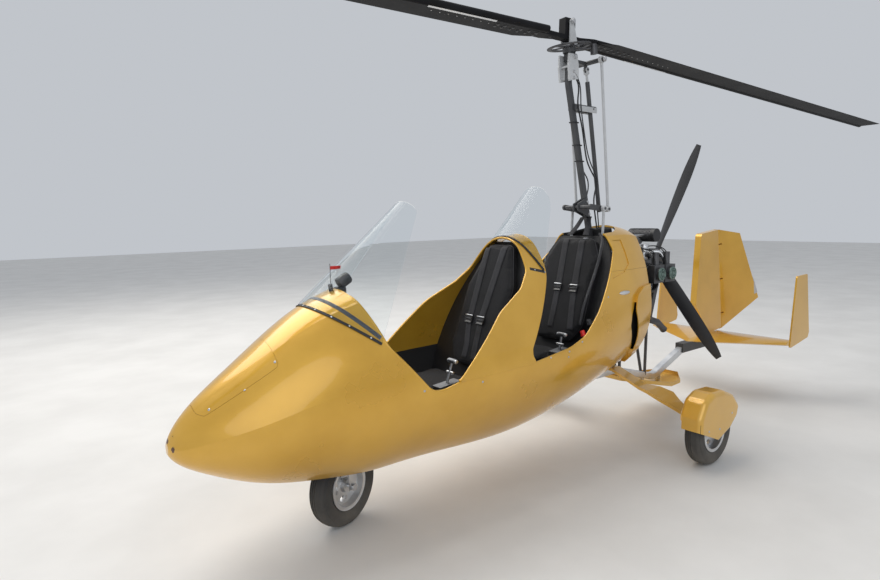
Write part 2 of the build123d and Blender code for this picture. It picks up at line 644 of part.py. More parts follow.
# Wheels: a tyre and a rim for each, round an axle along Y
WHEELS = (
    ("nose", NOSE_AXLE),
    ("main_left", (MAIN_AXLE_X, MAIN_TRACK_HALF, TYRE_RADIUS)),
    ("main_right", (MAIN_AXLE_X, -MAIN_TRACK_HALF, TYRE_RADIUS)),
)
for name, centre in WHEELS:
    wheel_plane = Plane(origin=centre, x_dir=(0, 1, 0), z_dir=(1, 0, 0))
    spin_axis = Axis(centre, (0, 1, 0))
    seat, bulge = (RIM_HALF_WIDTH, FLANGE_RADIUS + 1), (TYRE_HALF_WIDTH, TYRE_BULGE_RADIUS)
    with BuildPart() as tyre:
        with BuildSketch(wheel_plane):
            with BuildLine():
                Line((-seat[0], RIM_RADIUS), (seat[0], RIM_RADIUS))
                Line((seat[0], RIM_RADIUS), seat)
                ThreePointArc(seat, bulge, TYRE_SHOULDER)
                ThreePointArc(TYRE_SHOULDER, (0, TYRE_RADIUS), (-TYRE_SHOULDER[0], TYRE_SHOULDER[1]))
                ThreePointArc((-TYRE_SHOULDER[0], TYRE_SHOULDER[1]), (-bulge[0], bulge[1]), (-seat[0], seat[1]))
                Line((-seat[0], seat[1]), (-seat[0], RIM_RADIUS))
            make_face()
        revolve(axis=spin_axis)
    with BuildPart() as rim:
        with BuildSketch(wheel_plane):
            edge = RIM_HALF_WIDTH + FLANGE_THICKNESS
            inner = RIM_RADIUS - RIM_WALL
            bore = AXLE_RADIUS + RUNNING_GAP
            with BuildLine():
                Polyline((-edge, inner), (-edge, FLANGE_RADIUS), (-RIM_HALF_WIDTH, FLANGE_RADIUS),
                         (-RIM_HALF_WIDTH, RIM_RADIUS), (RIM_HALF_WIDTH, RIM_RADIUS),
                         (RIM_HALF_WIDTH, FLANGE_RADIUS), (edge, FLANGE_RADIUS), (edge, inner),
                         (10, inner - 6), (16, HUB_RADIUS + 6), (HUB_HALF_WIDTH, HUB_RADIUS), (HUB_HALF_WIDTH, bore),
                         (-HUB_HALF_WIDTH, bore), (-HUB_HALF_WIDTH, HUB_RADIUS), (2, HUB_RADIUS + 6),
                         (-2, inner - 6), close=True)
            make_face()
        revolve(axis=spin_axis)
        with BuildSketch(Plane(origin=(centre[0], centre[1] - RIM_HALF_WIDTH, centre[2]), x_dir=(1, 0, 0),
                               z_dir=(0, 1, 0))):
            with PolarLocations(RIM_HOLE_CIRCLE, RIM_HOLES):
                Circle(RIM_HOLE_RADIUS)
        extrude(amount=2 * RIM_HALF_WIDTH, mode=Mode.SUBTRACT)
    for piece, kind in ((tyre, "tyre"), (rim, "rim")):
        if name == "nose":
            with BuildPart() as piece:
                add(steered((tyre if kind == "tyre" else rim).part))
        save(piece, f"{name}_{kind}")

# Nose leg: a fork that turns in the steering head
with BuildPart() as straight_fork:
    for sign in (1, -1):
        with BuildSketch(SIDE.offset(-sign * FORK_HALF)):
            draw_side_profile(((NOSE_AXLE[0] - 22, TYRE_RADIUS - 14), (NOSE_AXLE[0] + 22, TYRE_RADIUS - 14),
                               (STEER_X + 28, FORK_TOP_Z), (STEER_X - 28, FORK_TOP_Z)))
        extrude(amount=-FORK_PLATE * sign)
    box_between((STEER_X - 28, -FORK_HALF - FORK_PLATE, FORK_TOP_Z - 2),
                (STEER_X + 28, FORK_HALF + FORK_PLATE, FORK_TOP_Z + 14))
    straight_rod((STEER_X, 0, FORK_TOP_Z), (STEER_X, 0, STEER_HEAD_TOP + 6), STEER_TUBE_RADIUS)
    axle_ends = [(NOSE_AXLE[0], sign * (FORK_HALF + 2 * FORK_PLATE), NOSE_AXLE[2]) for sign in (-1, 1)]
    straight_rod(*axle_ends, AXLE_RADIUS)
    straight_rod(*axle_ends, TOW_BORE_RADIUS, mode=Mode.SUBTRACT)
with BuildPart() as nose_fork:
    add(steered(straight_fork.part))
save(nose_fork, "nose_fork")
with BuildPart() as steering_head:
    with BuildSketch(Plane.XY.offset(FLOOR_Z)):
        with Locations((STEER_X, 0)):
            Circle(STEER_HEAD_RADIUS)
            Circle(STEER_TUBE_RADIUS + RUNNING_GAP, mode=Mode.SUBTRACT)
    extrude(amount=STEER_HEAD_TOP - FLOOR_Z)
save(steering_head, "steering_head")

# Axles, with the plates that join them to the leaf
(plate_aft, plate_low), (plate_fore, plate_high) = AXLE_PLATE
with BuildPart() as main_axles:
    for sign in (1, -1):
        straight_rod((MAIN_AXLE_X, sign * (BOW_END + 4), TYRE_RADIUS),
                     (MAIN_AXLE_X, sign * (MAIN_TRACK_HALF + FAIRING_ROOM), TYRE_RADIUS), AXLE_RADIUS)
        box_between((plate_aft, sign * BOW_END, plate_low), (plate_fore, sign * (BOW_END + 10), plate_high))
save(main_axles, "main_axles")

# Wheel fairings: thin hoods, open below and cut away on the inboard side for the leaf
with BuildPart() as wheel_fairings:
    for sign in (1, -1):
        hood_plane = SIDE.offset(-sign * MAIN_TRACK_HALF)
        with BuildPart():
            with BuildSketch(hood_plane):
                draw_rounded_profile(WHEEL_FAIRING)
            hood = extrude(amount=FAIRING_ROOM + FAIRING_WALL, both=True)
            fillet(hood.edges().filter_by(lambda e: abs(e.tangent_at(0.5).Y) < 0.5 and e.center().Z > FAIRING_OPEN_Z
                                          and abs(abs(e.center().Y) - MAIN_TRACK_HALF) > FAIRING_ROOM), FAIRING_EDGE)
            with BuildPart(mode=Mode.SUBTRACT):
                with BuildSketch(hood_plane):
                    draw_rounded_profile(WHEEL_FAIRING)
                    offset(amount=-FAIRING_WALL)
                room = extrude(amount=FAIRING_ROOM, both=True)
                fillet(room.edges().filter_by(lambda e: abs(e.tangent_at(0.5).Y) < 0.5
                                              and e.center().Z > FAIRING_OPEN_Z
                                              and abs(abs(e.center().Y) - MAIN_TRACK_HALF) > FAIRING_ROOM - 1),
                       FAIRING_EDGE - FAIRING_WALL)
            box_between((-600, sign * (MAIN_TRACK_HALF - FAIRING_ROOM), 0),
                        (WHEEL_FAIRING[0][0] - FAIRING_WALL, sign * (MAIN_TRACK_HALF + FAIRING_ROOM), FAIRING_OPEN_Z),
                        mode=Mode.SUBTRACT)
            box_between((-700, 0, 0), (0, sign * (MAIN_TRACK_HALF - TYRE_HALF_WIDTH), FAIRING_OPEN_Z),
                        mode=Mode.SUBTRACT)
save(wheel_fairings, "wheel_fairings")

# Tray under the engine and the keel, with turned-up sides
with BuildPart() as belly_tray:
    with BuildSketch(SIDE):
        draw_side_profile(TRAY_LINE + tuple((x, z + TRAY_LIP) for x, z in reversed(TRAY_LINE)))
    extrude(amount=BESIDE_Y, both=True)
    with BuildSketch(Plane.XY):
        with BuildLine():
            Polyline(*TRAY_PLAN, *((x, -y) for x, y in reversed(TRAY_PLAN)), close=True)
        make_face()
    extrude(amount=BESIDE_Y, mode=Mode.INTERSECT)
    with BuildPart(mode=Mode.SUBTRACT):
        with BuildSketch(SIDE):
            draw_side_profile(tuple((x, z + TRAY_WALL) for x, z in TRAY_LINE)
                              + tuple((x, z + 2 * TRAY_LIP) for x, z in reversed(TRAY_LINE)))
        extrude(amount=BESIDE_Y, both=True)
        with BuildSketch(Plane.XY):
            with BuildLine():
                Polyline(*TRAY_PLAN, *((x, -y) for x, y in reversed(TRAY_PLAN)), close=True)
            make_face()
            offset(amount=-TRAY_WALL)
        extrude(amount=BESIDE_Y, mode=Mode.INTERSECT)
save(belly_tray, "belly_tray")

# Engine: a flat four with finned cylinders, heads, round covers, intake pipes and filter; its gearbox aft
with BuildPart() as engine:
    box_between(*CRANKCASE)
    box_between(*GEARBOX)
    for x, sign in CYLINDERS:
        straight_rod((x, 0, CYLINDER_Z), (x, sign * HEAD_Y[0], CYLINDER_Z), CYLINDER_RADIUS)
        for index in range(FIN_COUNT):
            near = FIN_FIRST_Y + index * FIN_PITCH
            straight_rod((x, sign * near, CYLINDER_Z), (x, sign * (near + FIN_THICKNESS), CYLINDER_Z), FIN_RADIUS)
        box_between((x - FIN_RADIUS, sign * HEAD_Y[0], CYLINDER_Z - FIN_RADIUS),
                    (x + FIN_RADIUS, sign * HEAD_Y[1], CYLINDER_Z + FIN_RADIUS))
        straight_rod((x, sign * HEAD_Y[1], CYLINDER_Z), (x, sign * (HEAD_Y[1] + 16), CYLINDER_Z), HEAD_COVER_RADIUS)
        pipe_y = sign * (HEAD_Y[0] + INTAKE_BACK)
        straight_rod((x, pipe_y, CYLINDER_Z), (x, pipe_y, INTAKE_Z + MANIFOLD_RADIUS + 4), MANIFOLD_RADIUS + 4)
        straight_rod((x, pipe_y, INTAKE_Z), (AIRBOX_X, sign * AIRBOX_RADIUS / 2, INTAKE_Z), MANIFOLD_RADIUS)
    straight_rod((AIRBOX_X, 0, CRANKCASE[1][2] - 10), (AIRBOX_X, 0, AIRBOX_TOP_Z), AIRBOX_RADIUS)
    straight_rod((AIRBOX_X - 8, 0, AIRBOX_TOP_Z - 20), (FILTER[0][0], 20, FILTER[0][2]), AIRBOX_RADIUS * 0.7)
    straight_rod(*FILTER)
    straight_rod((GEARBOX[0][0] + 5, 0, PROP_HUB[2]), (PROP_HUB[0] + 30, 0, PROP_HUB[2]), 30)
save(engine, "engine")

# Exhaust: a black pipe down each side, joined by a stub from the rear cylinder
with BuildPart() as exhaust:
    for front_x, rear_x, sign in ((CYLINDERS[0][0], CYLINDERS[1][0], 1), (CYLINDERS[2][0], CYLINDERS[3][0], -1)):
        under_z = CYLINDER_Z - CYLINDER_RADIUS
        pipe = [(front_x, sign * EXHAUST[0][1], under_z)] + [(x, sign * y, z) for x, y, z in EXHAUST]
        bent_tube(pipe, EXHAUST_RADIUS, EXHAUST_BEND)
        straight_rod((rear_x, sign * EXHAUST[0][1], under_z), pipe[3], EXHAUST_RADIUS - 5)
    add(engine.part, mode=Mode.SUBTRACT)
save(exhaust, "exhaust")

# Struts that stand the engine on the keel
with BuildPart() as engine_frame:
    for sign in (1, -1):
        for (low_x, low_y, low_z), (high_x, high_y, high_z) in STRUTS:
            straight_rod((low_x, sign * low_y, low_z), (high_x, sign * high_y, high_z), STRUT_RADIUS)
    add(engine.part, mode=Mode.SUBTRACT)
    add(keel.part, mode=Mode.SUBTRACT)
save(engine_frame, "engine_frame")

# Propeller: a hub and twisted blades
with BuildPart() as propeller:
    straight_rod((PROP_HUB[0] + 28, 0, PROP_HUB[2]), (PROP_HUB[0] - 40, 0, PROP_HUB[2]), PROP_HUB_RADIUS)
    for index in range(PROP_BLADES):
        angle = radians(PROP_PHASE + index * 360 / PROP_BLADES)
        outward = Vector(0, sin(angle), cos(angle))
        across = Vector(0, cos(angle), -sin(angle))
        for share, chord, pitch, thickness in BLADE_STATIONS:
            chord_dir = across * cos(radians(pitch)) + Vector(1, 0, 0) * sin(radians(pitch))
            with BuildSketch(Plane(origin=Vector(*PROP_HUB) + outward * (share * PROP_RADIUS), x_dir=chord_dir,
                                   z_dir=outward)):
                with BuildLine():
                    ThreePointArc((-chord / 2, 0), (0, thickness * 0.7), (chord / 2, 0))
                    ThreePointArc((chord / 2, 0), (0, -thickness * 0.3), (-chord / 2, 0))
                make_face()
        loft()
save(propeller, "propeller")

# Tailplane: stabiliser and end plates
low = Vector(HINGE_LOW[0], 0, HINGE_LOW[1])
top = Vector(HINGE_TOP[0], 0, HINGE_TOP[1])
HINGE = (top - low).normalized()
AFT = Vector(-HINGE.Z, 0, HINGE.X)
with BuildPart() as stabiliser:
    for share, lead_x, thickness in STAB_SECTIONS:
        chord = lead_x - STAB_TE_X
        with BuildSketch(Plane(origin=(lead_x, share * STAB_HALF_SPAN, STAB_Z), x_dir=(-1, 0, 0), z_dir=(0, 1, 0))):
            with BuildLine():
                ThreePointArc((0, 0), (0.3 * chord, thickness / 2), (chord, STAB_TAIL_RISE + 2))
                Line((chord, STAB_TAIL_RISE + 2), (chord, STAB_TAIL_RISE - 2))
                ThreePointArc((chord, STAB_TAIL_RISE - 2), (0.3 * chord, -thickness / 2), (0, 0))
            make_face()
    loft(ruled=True)
    for sign in (1, -1):
        with BuildSketch(SIDE.offset(-sign * STAB_HALF_SPAN)):
            draw_side_profile(END_PLATE)
            fillet(vertices(), END_PLATE_CORNER)
        extrude(amount=END_PLATE_HALF, both=True)
save(stabiliser, "tailplane")

# Bracket between the keel and the tailplane
with BuildPart() as tail_bracket:
    box_between(*BRACKET)
    add(stabiliser.part, mode=Mode.SUBTRACT)
    add(keel.part, mode=Mode.SUBTRACT)
save(tail_bracket, "tail_bracket")

# Fin, with the lugs and pins that the rudder hangs on
hinge_places = [low + (top - low) * share for share in HINGE_SHARES]
with BuildPart() as fin:
    with BuildSketch(SIDE):
        front_top = top - AFT * (RUDDER_NOSE + CLEAR_GAP)
        front_low = low - AFT * (RUDDER_NOSE + CLEAR_GAP)
        (foot_x, foot_z), (lead_x, lead_z), (tip_x, tip_z) = FIN
        draw_rounded_profile(((front_low.X, front_low.Z, 0), (foot_x, foot_z, 5), (lead_x, lead_z, 40),
                              (tip_x, tip_z, FIN_CORNER), (front_top.X, front_top.Z, 0)))
    extrude(amount=RUDDER_NOSE, both=True)
    add(stabiliser.part, mode=Mode.SUBTRACT)
    for centre in hinge_places:
        with BuildSketch(Plane(origin=centre - HINGE * LUG_THICKNESS / 2, x_dir=AFT, z_dir=HINGE)):
            with Locations((-RUDDER_NOSE, 0)):
                Rectangle(2 * RUDDER_NOSE, 24)
            Circle(12)
        extrude(amount=LUG_THICKNESS)
        straight_rod(centre - HINGE * 25, centre + HINGE * 25, HINGE_PIN_RADIUS)
save(fin, "fin")

# Rudder, made straight and then turned about its hinge to where it is parked
with BuildPart() as straight_rudder:
    with BuildSketch(Plane(origin=low - HINGE * 50, x_dir=AFT, z_dir=HINGE)):
        with BuildLine():
            ThreePointArc((0, RUDDER_NOSE), (-RUDDER_NOSE, 0), (0, -RUDDER_NOSE))
            Polyline((0, -RUDDER_NOSE), (RUDDER_TAIL, -3), (RUDDER_TAIL, 3), (0, RUDDER_NOSE))
        make_face()
    extrude(amount=(top - low).length + 100)
    with BuildSketch(Plane(origin=low, x_dir=AFT, z_dir=(0, 1, 0))):
        with BuildLine():
            Polyline(*RUDDER, close=True)
        make_face()
    extrude(amount=BESIDE_Y, both=True, mode=Mode.INTERSECT)
    for centre in hinge_places:
        with BuildSketch(Plane(origin=centre - HINGE * (LUG_THICKNESS / 2 + 2), x_dir=AFT, z_dir=HINGE)):
            Rectangle(2 * RUDDER_NOSE - 8, 80)
            with Locations((-RUDDER_NOSE, 0)):
                Rectangle(RUDDER_NOSE, 80)
        extrude(amount=LUG_THICKNESS + 4, mode=Mode.SUBTRACT)
        straight_rod(centre - HINGE * 30, centre + HINGE * 30, HINGE_PIN_RADIUS + RUNNING_GAP, mode=Mode.SUBTRACT)
with BuildPart() as rudder:
    add(straight_rudder.part.rotate(Axis(low, HINGE), RUDDER_SWING))
save(rudder, "rudder")

# Rotor: the shaft leans with the head, the blades teeter on its tower
SHAFT = Vector(-sin(radians(SHAFT_TILT)), 0, cos(radians(SHAFT_TILT)))
TEETER_POINT = PIVOT + SHAFT * TEETER_RISE
yaw, slope = radians(ROTOR_YAW), radians(DISC_TILT)
SPAN = Vector(cos(yaw) * cos(slope), sin(yaw) * cos(slope), cos(yaw) * sin(slope)).normalized()
TEETER = SHAFT.cross(SPAN).normalized()
UP = SPAN.cross(TEETER)
HUB_X = TEETER.cross(SHAFT)


def hub_plane(rise):
    """The plane across the shaft at a height over the tilt pin."""
    return Plane(origin=PIVOT + SHAFT * rise, x_dir=HUB_X, z_dir=SHAFT)


def bar_plane(drop):
    """The plane along the blades at a depth under the teeter pin."""
    return Plane(origin=TEETER_POINT - UP * drop, x_dir=SPAN, z_dir=UP)


def rod_along(start, direction, length, radius, mode=Mode.ADD):
    """A round rod from a point in a direction."""
    straight_rod(start, start + direction.normalized() * length, radius, mode)


# Cheeks on the mast, with the pin that the rotor head tilts on
cheek_y = HEAD_HALF + CLEAR_GAP
top_x = MAST_TOP[0]
with BuildPart() as mast_head:
    for sign in (1, -1):
        with BuildSketch(SIDE.offset(-sign * cheek_y)):
            draw_side_profile([(top_x + x, PIVOT_Z + z) for x, z in CHEEK])
        extrude(amount=-sign * CHEEK_THICKNESS)
    box_between((top_x - 36, -cheek_y - 1, MAST_TOP[1]), (top_x + 36, cheek_y + 1, MAST_TOP[1] + 10))
    box_between((top_x - 20, -cheek_y - 1, MAST_TOP[1] - 70), (top_x + 20, cheek_y + 1, MAST_TOP[1] + 1))
    straight_rod((0, -cheek_y - CHEEK_THICKNESS - 6, PIVOT_Z), (0, cheek_y + CHEEK_THICKNESS + 6, PIVOT_Z),
                 PIVOT_PIN_RADIUS)
    add(mast.part, mode=Mode.SUBTRACT)
save(mast_head, "mast_head")

# Rotor head: pivot block, bearing housing, the bar that the push rods tilt and the lug of the trim cylinder
eye_x, eye_z = TRIM_EYE
arm_z = PIVOT_Z + TORQUE_ARM[1]
with BuildPart() as rotor_head:
    box_between((-24, -HEAD_HALF, PIVOT_Z - 22), (24, HEAD_HALF, PIVOT_Z + 34))
    rod_along(PIVOT + SHAFT * HOUSING[0], SHAFT, HOUSING[1] - HOUSING[0], HOUSING_RADIUS)
    box_between((TORQUE_ARM[0], -14, arm_z - 11), (-20, 14, arm_z + 11))
    straight_rod((TORQUE_ARM[0], -ROD_SPREAD - 24, arm_z), (TORQUE_ARM[0], ROD_SPREAD + 24, arm_z), T_BAR_RADIUS)
    with BuildSketch(SIDE):
        draw_side_profile(((eye_x - 12, eye_z), (TORQUE_ARM[0] - 12, arm_z), (TORQUE_ARM[0] + 12, arm_z),
                           (eye_x + 12, eye_z)))
        with Locations((eye_x, eye_z)):
            Circle(12)
    extrude(amount=6, both=True)
    straight_rod((eye_x, -17, eye_z), (eye_x, 17, eye_z), TRIM_PIN_RADIUS)
    cross_bore(0, PIVOT_Z, PIVOT_PIN_RADIUS + RUNNING_GAP)
    rod_along(PIVOT + SHAFT * (HOUSING[0] - 5), SHAFT, 100, SHAFT_RADIUS + RUNNING_GAP, mode=Mode.SUBTRACT)
save(rotor_head, "rotor_head")

# Pre-rotator drive on the head, its pinion clear of the ring gear
reach = HUB_X * cos(radians(150)) + TEETER * sin(radians(150))
pinion_foot = PIVOT + reach * (RING_GEAR_RADIUS + PINION_ROOM)
with BuildPart() as prerotator:
    rod_along(PIVOT + SHAFT * (HOUSING[1] - 13) + reach * (HOUSING_RADIUS - 2), reach,
              RING_GEAR_RADIUS + PINION_ROOM - HOUSING_RADIUS, 9)
    rod_along(pinion_foot + SHAFT * 5, SHAFT, 44, PINION_ROOM - 2)
    rod_along(pinion_foot + SHAFT * 48, SHAFT, 18, PINION_ROOM - CLEAR_GAP)
    add(rotor_head.part, mode=Mode.SUBTRACT)
save(prerotator, "prerotator")

# Rotor hub: ring gear, and the shaft with the tower that holds the teeter pin
with BuildPart() as ring_gear:
    with BuildSketch(hub_plane(RING_GEAR_RISE)):
        Circle(RING_GEAR_RADIUS)
        Circle(RING_GEAR_RADIUS - 24, mode=Mode.SUBTRACT)
        Circle(2 * HUB_FLANGE_RADIUS - 14)
        with PolarLocations(RING_GEAR_RADIUS / 2, RING_GEAR_SPOKES):
            Rectangle(RING_GEAR_RADIUS - 30, 14)
        Circle(HUB_FLANGE_RADIUS, mode=Mode.SUBTRACT)
    extrude(amount=RING_GEAR_THICKNESS)
save(ring_gear, "ring_gear")
with BuildPart() as rotor_tower:
    base_rise = RING_GEAR_RISE + RING_GEAR_THICKNESS
    rod_along(PIVOT + SHAFT * (HOUSING[0] - 3), SHAFT, base_rise - HOUSING[0] + 10, SHAFT_RADIUS)
    rod_along(PIVOT + SHAFT * RING_GEAR_RISE, SHAFT, RING_GEAR_THICKNESS + 2, HUB_FLANGE_RADIUS)
    with BuildSketch(hub_plane(base_rise)):
        Rectangle(2 * TOWER_BASE_HALF, 2 * (TOWER_HALF_GAP + TOWER_THICKNESS))
    extrude(amount=12)
    for sign in (1, -1):
        face = Plane(origin=PIVOT + TEETER * sign * TOWER_HALF_GAP, x_dir=HUB_X, z_dir=TEETER * sign)
        up = 1 if face.y_dir.dot(SHAFT) > 0 else -1
        with BuildSketch(face):
            with BuildLine():
                Polyline((TOWER_TOP_HALF, up * TEETER_RISE), (TOWER_BASE_HALF, up * (base_rise + 6)),
                         (-TOWER_BASE_HALF, up * (base_rise + 6)), (-TOWER_TOP_HALF, up * TEETER_RISE))
                ThreePointArc((-TOWER_TOP_HALF, up * TEETER_RISE), (0, up * (TEETER_RISE + TOWER_TOP_HALF)),
                              (TOWER_TOP_HALF, up * TEETER_RISE))
            make_face()
        extrude(amount=TOWER_THICKNESS)
    pin_half = TOWER_HALF_GAP + TOWER_THICKNESS + 10
    rod_along(TEETER_POINT - TEETER * pin_half, TEETER, 2 * pin_half, TEETER_PIN_RADIUS)
save(rotor_tower, "rotor_tower")

# Hub bar with its teeter block and the plates that hold the blade roots
with BuildPart() as hub_bar:
    half = HUB_BAR_WIDTH / 2
    with BuildSketch(bar_plane(HUB_BAR_DROP + HUB_BAR_THICKNESS / 2)):
        Rectangle(2 * HUB_BAR_LENGTH, HUB_BAR_WIDTH)
        with BuildLine():
            Polyline((HUB_PLATE_START, 0), (HUB_PLATE_START, -half), (HUB_PLATE_START + 90, -HUB_PLATE_TRAIL),
                     (HUB_BAR_LENGTH, -HUB_PLATE_TRAIL), (HUB_BAR_LENGTH, 0), close=True)
        make_face()
        with BuildLine():
            Polyline((-HUB_PLATE_START, 0), (-HUB_PLATE_START, half), (-HUB_PLATE_START - 90, HUB_PLATE_TRAIL),
                     (-HUB_BAR_LENGTH, HUB_PLATE_TRAIL), (-HUB_BAR_LENGTH, 0), close=True)
        make_face()
    extrude(amount=HUB_BAR_THICKNESS)
    with BuildSketch(bar_plane(HUB_BAR_DROP)):
        Rectangle(84, HUB_BAR_WIDTH)
    extrude(amount=HUB_BAR_DROP + 22)
    rod_along(TEETER_POINT - TEETER * 60, TEETER, 120, TEETER_PIN_RADIUS + RUNNING_GAP, mode=Mode.SUBTRACT)
save(hub_bar, "hub_bar")

# Rotor blades, slightly drooped; the leading edge of each faces its way of turning
cut_along, cut_across = BLADE_CUT
trail = BLADE_LEAD - BLADE_CHORD
for name, sign in (("front", 1), ("rear", -1)):
    out = SPAN * sign * cos(radians(BLADE_DROOP)) - UP * sin(radians(BLADE_DROOP))
    lead = TEETER * sign
    over = out.cross(lead)
    root = TEETER_POINT - UP * HUB_BAR_DROP + SPAN * sign * BLADE_ROOT
    tilted = lead * cos(radians(BLADE_PITCH)) + over * sin(radians(BLADE_PITCH))
    with BuildPart() as blade:
        with BuildSketch(Plane(origin=root, x_dir=tilted, z_dir=out)):
            half = BLADE_THICKNESS / 2
            with BuildLine():
                ThreePointArc((BLADE_LEAD - 40, half), (BLADE_LEAD, 0), (BLADE_LEAD - 40, -half))
                Polyline((BLADE_LEAD - 40, -half), (trail, -1), (trail, 1), (BLADE_LEAD - 40, half))
            make_face()
        extrude(amount=ROTOR_RADIUS - BLADE_ROOT)
        with BuildSketch(Plane(origin=root, x_dir=out, z_dir=over)):
            with BuildLine():
                Polyline((-10, trail - 20), (cut_along, trail - 20), (cut_along, trail), (0, trail + cut_across),
                         (-10, trail + cut_across), close=True)
            make_face()
        extrude(amount=5 * BLADE_THICKNESS, both=True, mode=Mode.SUBTRACT)
        add(hub_bar.part, mode=Mode.SUBTRACT)
    save(blade, f"rotor_blade_{name}")

# Push rods between the bar and the idler levers, and the rods that go on down
lower_pin = rod_low + (idler_pivot - rod_low).normalized() * LOWER_PIN_BACK
with BuildPart() as push_rods:
    for sign in (1, -1):
        shift = Vector(0, sign * ROD_SPREAD, 0)
        for end, radius in ((rod_top, T_BAR_RADIUS + 8), (rod_low, ROD_EYE_RADIUS)):
            rod_along(end + shift - Vector(0, 10, 0), Vector(0, 1, 0), 20, radius)
        straight_rod(rod_top + shift, rod_low + shift, ROD_RADIUS)
    cross_bore(rod_top.X, rod_top.Z, T_BAR_RADIUS + RUNNING_GAP)
    cross_bore(rod_low.X, rod_low.Z, LEVER_PIN_RADIUS + 1)
save(push_rods, "push_rods")
with BuildPart() as idler_levers:
    arm = idler_pivot - rod_low
    middle = (idler_pivot + rod_low) * 0.5
    for sign in (1, -1):
        with BuildSketch(SIDE.offset(-sign * LEVER_SPREAD)):
            with Locations((middle.X, middle.Z)):
                SlotCenterToCenter(arm.length, LEVER_WIDTH, rotation=degrees(atan2(arm.Z, arm.X)))
        extrude(amount=6, both=True)
        for place in (rod_low, lower_pin):
            rod_along(place + Vector(0, sign * (LEVER_SPREAD - 6), 0), Vector(0, sign, 0),
                      ROD_SPREAD - LEVER_SPREAD + 20, LEVER_PIN_RADIUS)
    rod_along(idler_pivot - Vector(0, LEVER_SPREAD, 0), Vector(0, 1, 0), 2 * LEVER_SPREAD, IDLER_TUBE_RADIUS)
save(idler_levers, "idler_levers")
with BuildPart() as lower_rods:
    for sign in (1, -1):
        shift = Vector(0, sign * ROD_SPREAD, 0)
        rod_along(lower_pin + shift - Vector(0, 10, 0), Vector(0, 1, 0), 20, ROD_EYE_RADIUS)
        straight_rod(lower_pin + shift, Vector(LOWER_END[0], 0, LOWER_END[1]) + shift, ROD_RADIUS)
    cross_bore(lower_pin.X, lower_pin.Z, LEVER_PIN_RADIUS + RUNNING_GAP)
save(lower_rods, "lower_rods")

# Trim cylinder on its trunnion, and the rod that slides in it up to the head's lug
trunnion = Vector(TRIM_TRUNNION[0], 0, TRIM_TRUNNION[1])
trim_eye = Vector(eye_x, 0, eye_z)
ALONG = (trim_eye - trunnion).normalized()
trim_mouth = trim_eye - ALONG * TRIM_MOUTH
with BuildPart() as trim_cylinder:
    straight_rod(trim_eye - ALONG * TRIM_LENGTH, trim_mouth, TRIM_TUBE_RADIUS)
    rod_along(trunnion - Vector(0, TRIM_TUBE_RADIUS + CLEAR_GAP + 12, 0), Vector(0, 1, 0),
              2 * (TRIM_TUBE_RADIUS + CLEAR_GAP + 12), TRIM_PIN_RADIUS)
    rod_along(trim_mouth, ALONG * -1, TRIM_DEPTH + TRIM_TRAVEL + CLEAR_GAP, TRIM_ROD_RADIUS + RUNNING_GAP,
              mode=Mode.SUBTRACT)
save(trim_cylinder, "trim_cylinder")
with BuildPart() as trim_rod:
    straight_rod(trim_mouth - ALONG * TRIM_DEPTH, trim_eye - ALONG * 22, TRIM_ROD_RADIUS)
    rod_along(trim_eye - ALONG * 30, ALONG, 10, 15)
    for sign in (1, -1):
        with BuildSketch(Plane(origin=trim_eye + Vector(0, sign * 8, 0), x_dir=ALONG, z_dir=(0, sign, 0))):
            Circle(15)
            with Locations((-14, 0)):
                Rectangle(28, 22)
            Circle(TRIM_PIN_RADIUS + TRIM_EYE_PLAY, mode=Mode.SUBTRACT)
        extrude(amount=6)
save(trim_rod, "trim_rod")
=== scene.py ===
import json
import math

import bpy
from mathutils import Matrix, Vector
from mathutils.bvhtree import BVHTree


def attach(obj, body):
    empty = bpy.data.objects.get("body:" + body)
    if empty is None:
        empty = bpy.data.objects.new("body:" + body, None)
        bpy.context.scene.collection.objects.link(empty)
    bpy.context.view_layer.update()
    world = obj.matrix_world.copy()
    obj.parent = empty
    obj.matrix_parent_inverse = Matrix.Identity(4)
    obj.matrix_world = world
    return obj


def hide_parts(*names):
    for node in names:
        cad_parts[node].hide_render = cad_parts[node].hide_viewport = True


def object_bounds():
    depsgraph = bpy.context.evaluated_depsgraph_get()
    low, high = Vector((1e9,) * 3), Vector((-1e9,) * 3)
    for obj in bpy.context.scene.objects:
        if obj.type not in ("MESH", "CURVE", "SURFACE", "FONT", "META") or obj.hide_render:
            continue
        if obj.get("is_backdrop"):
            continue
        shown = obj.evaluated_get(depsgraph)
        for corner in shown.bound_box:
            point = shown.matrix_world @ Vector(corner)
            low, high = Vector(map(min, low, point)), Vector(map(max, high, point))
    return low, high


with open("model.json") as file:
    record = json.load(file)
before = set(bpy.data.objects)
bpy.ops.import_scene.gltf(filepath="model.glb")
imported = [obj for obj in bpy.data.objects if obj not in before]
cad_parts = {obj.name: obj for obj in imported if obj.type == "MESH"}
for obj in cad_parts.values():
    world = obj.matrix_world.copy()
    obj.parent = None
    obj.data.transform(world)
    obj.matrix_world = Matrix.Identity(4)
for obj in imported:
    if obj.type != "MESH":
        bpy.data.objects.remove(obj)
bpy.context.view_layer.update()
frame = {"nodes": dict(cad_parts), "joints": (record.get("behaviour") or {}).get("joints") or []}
scene = bpy.context.scene
NODES = frame["nodes"]


# Shader groups that several finishes share

def new_group(name, inputs, outputs):
    """A shader node group with named sockets: the group, what it is given and what it gives."""
    tree = bpy.data.node_groups.new(name, "ShaderNodeTree")
    for label, value in inputs.items():
        socket = tree.interface.new_socket(label, in_out="INPUT", socket_type="NodeSocketFloat")
        socket.default_value = value
    for label in outputs:
        tree.interface.new_socket(label, in_out="OUTPUT", socket_type="NodeSocketFloat")
    return tree, tree.nodes.new("NodeGroupInput").outputs, tree.nodes.new("NodeGroupOutput").inputs


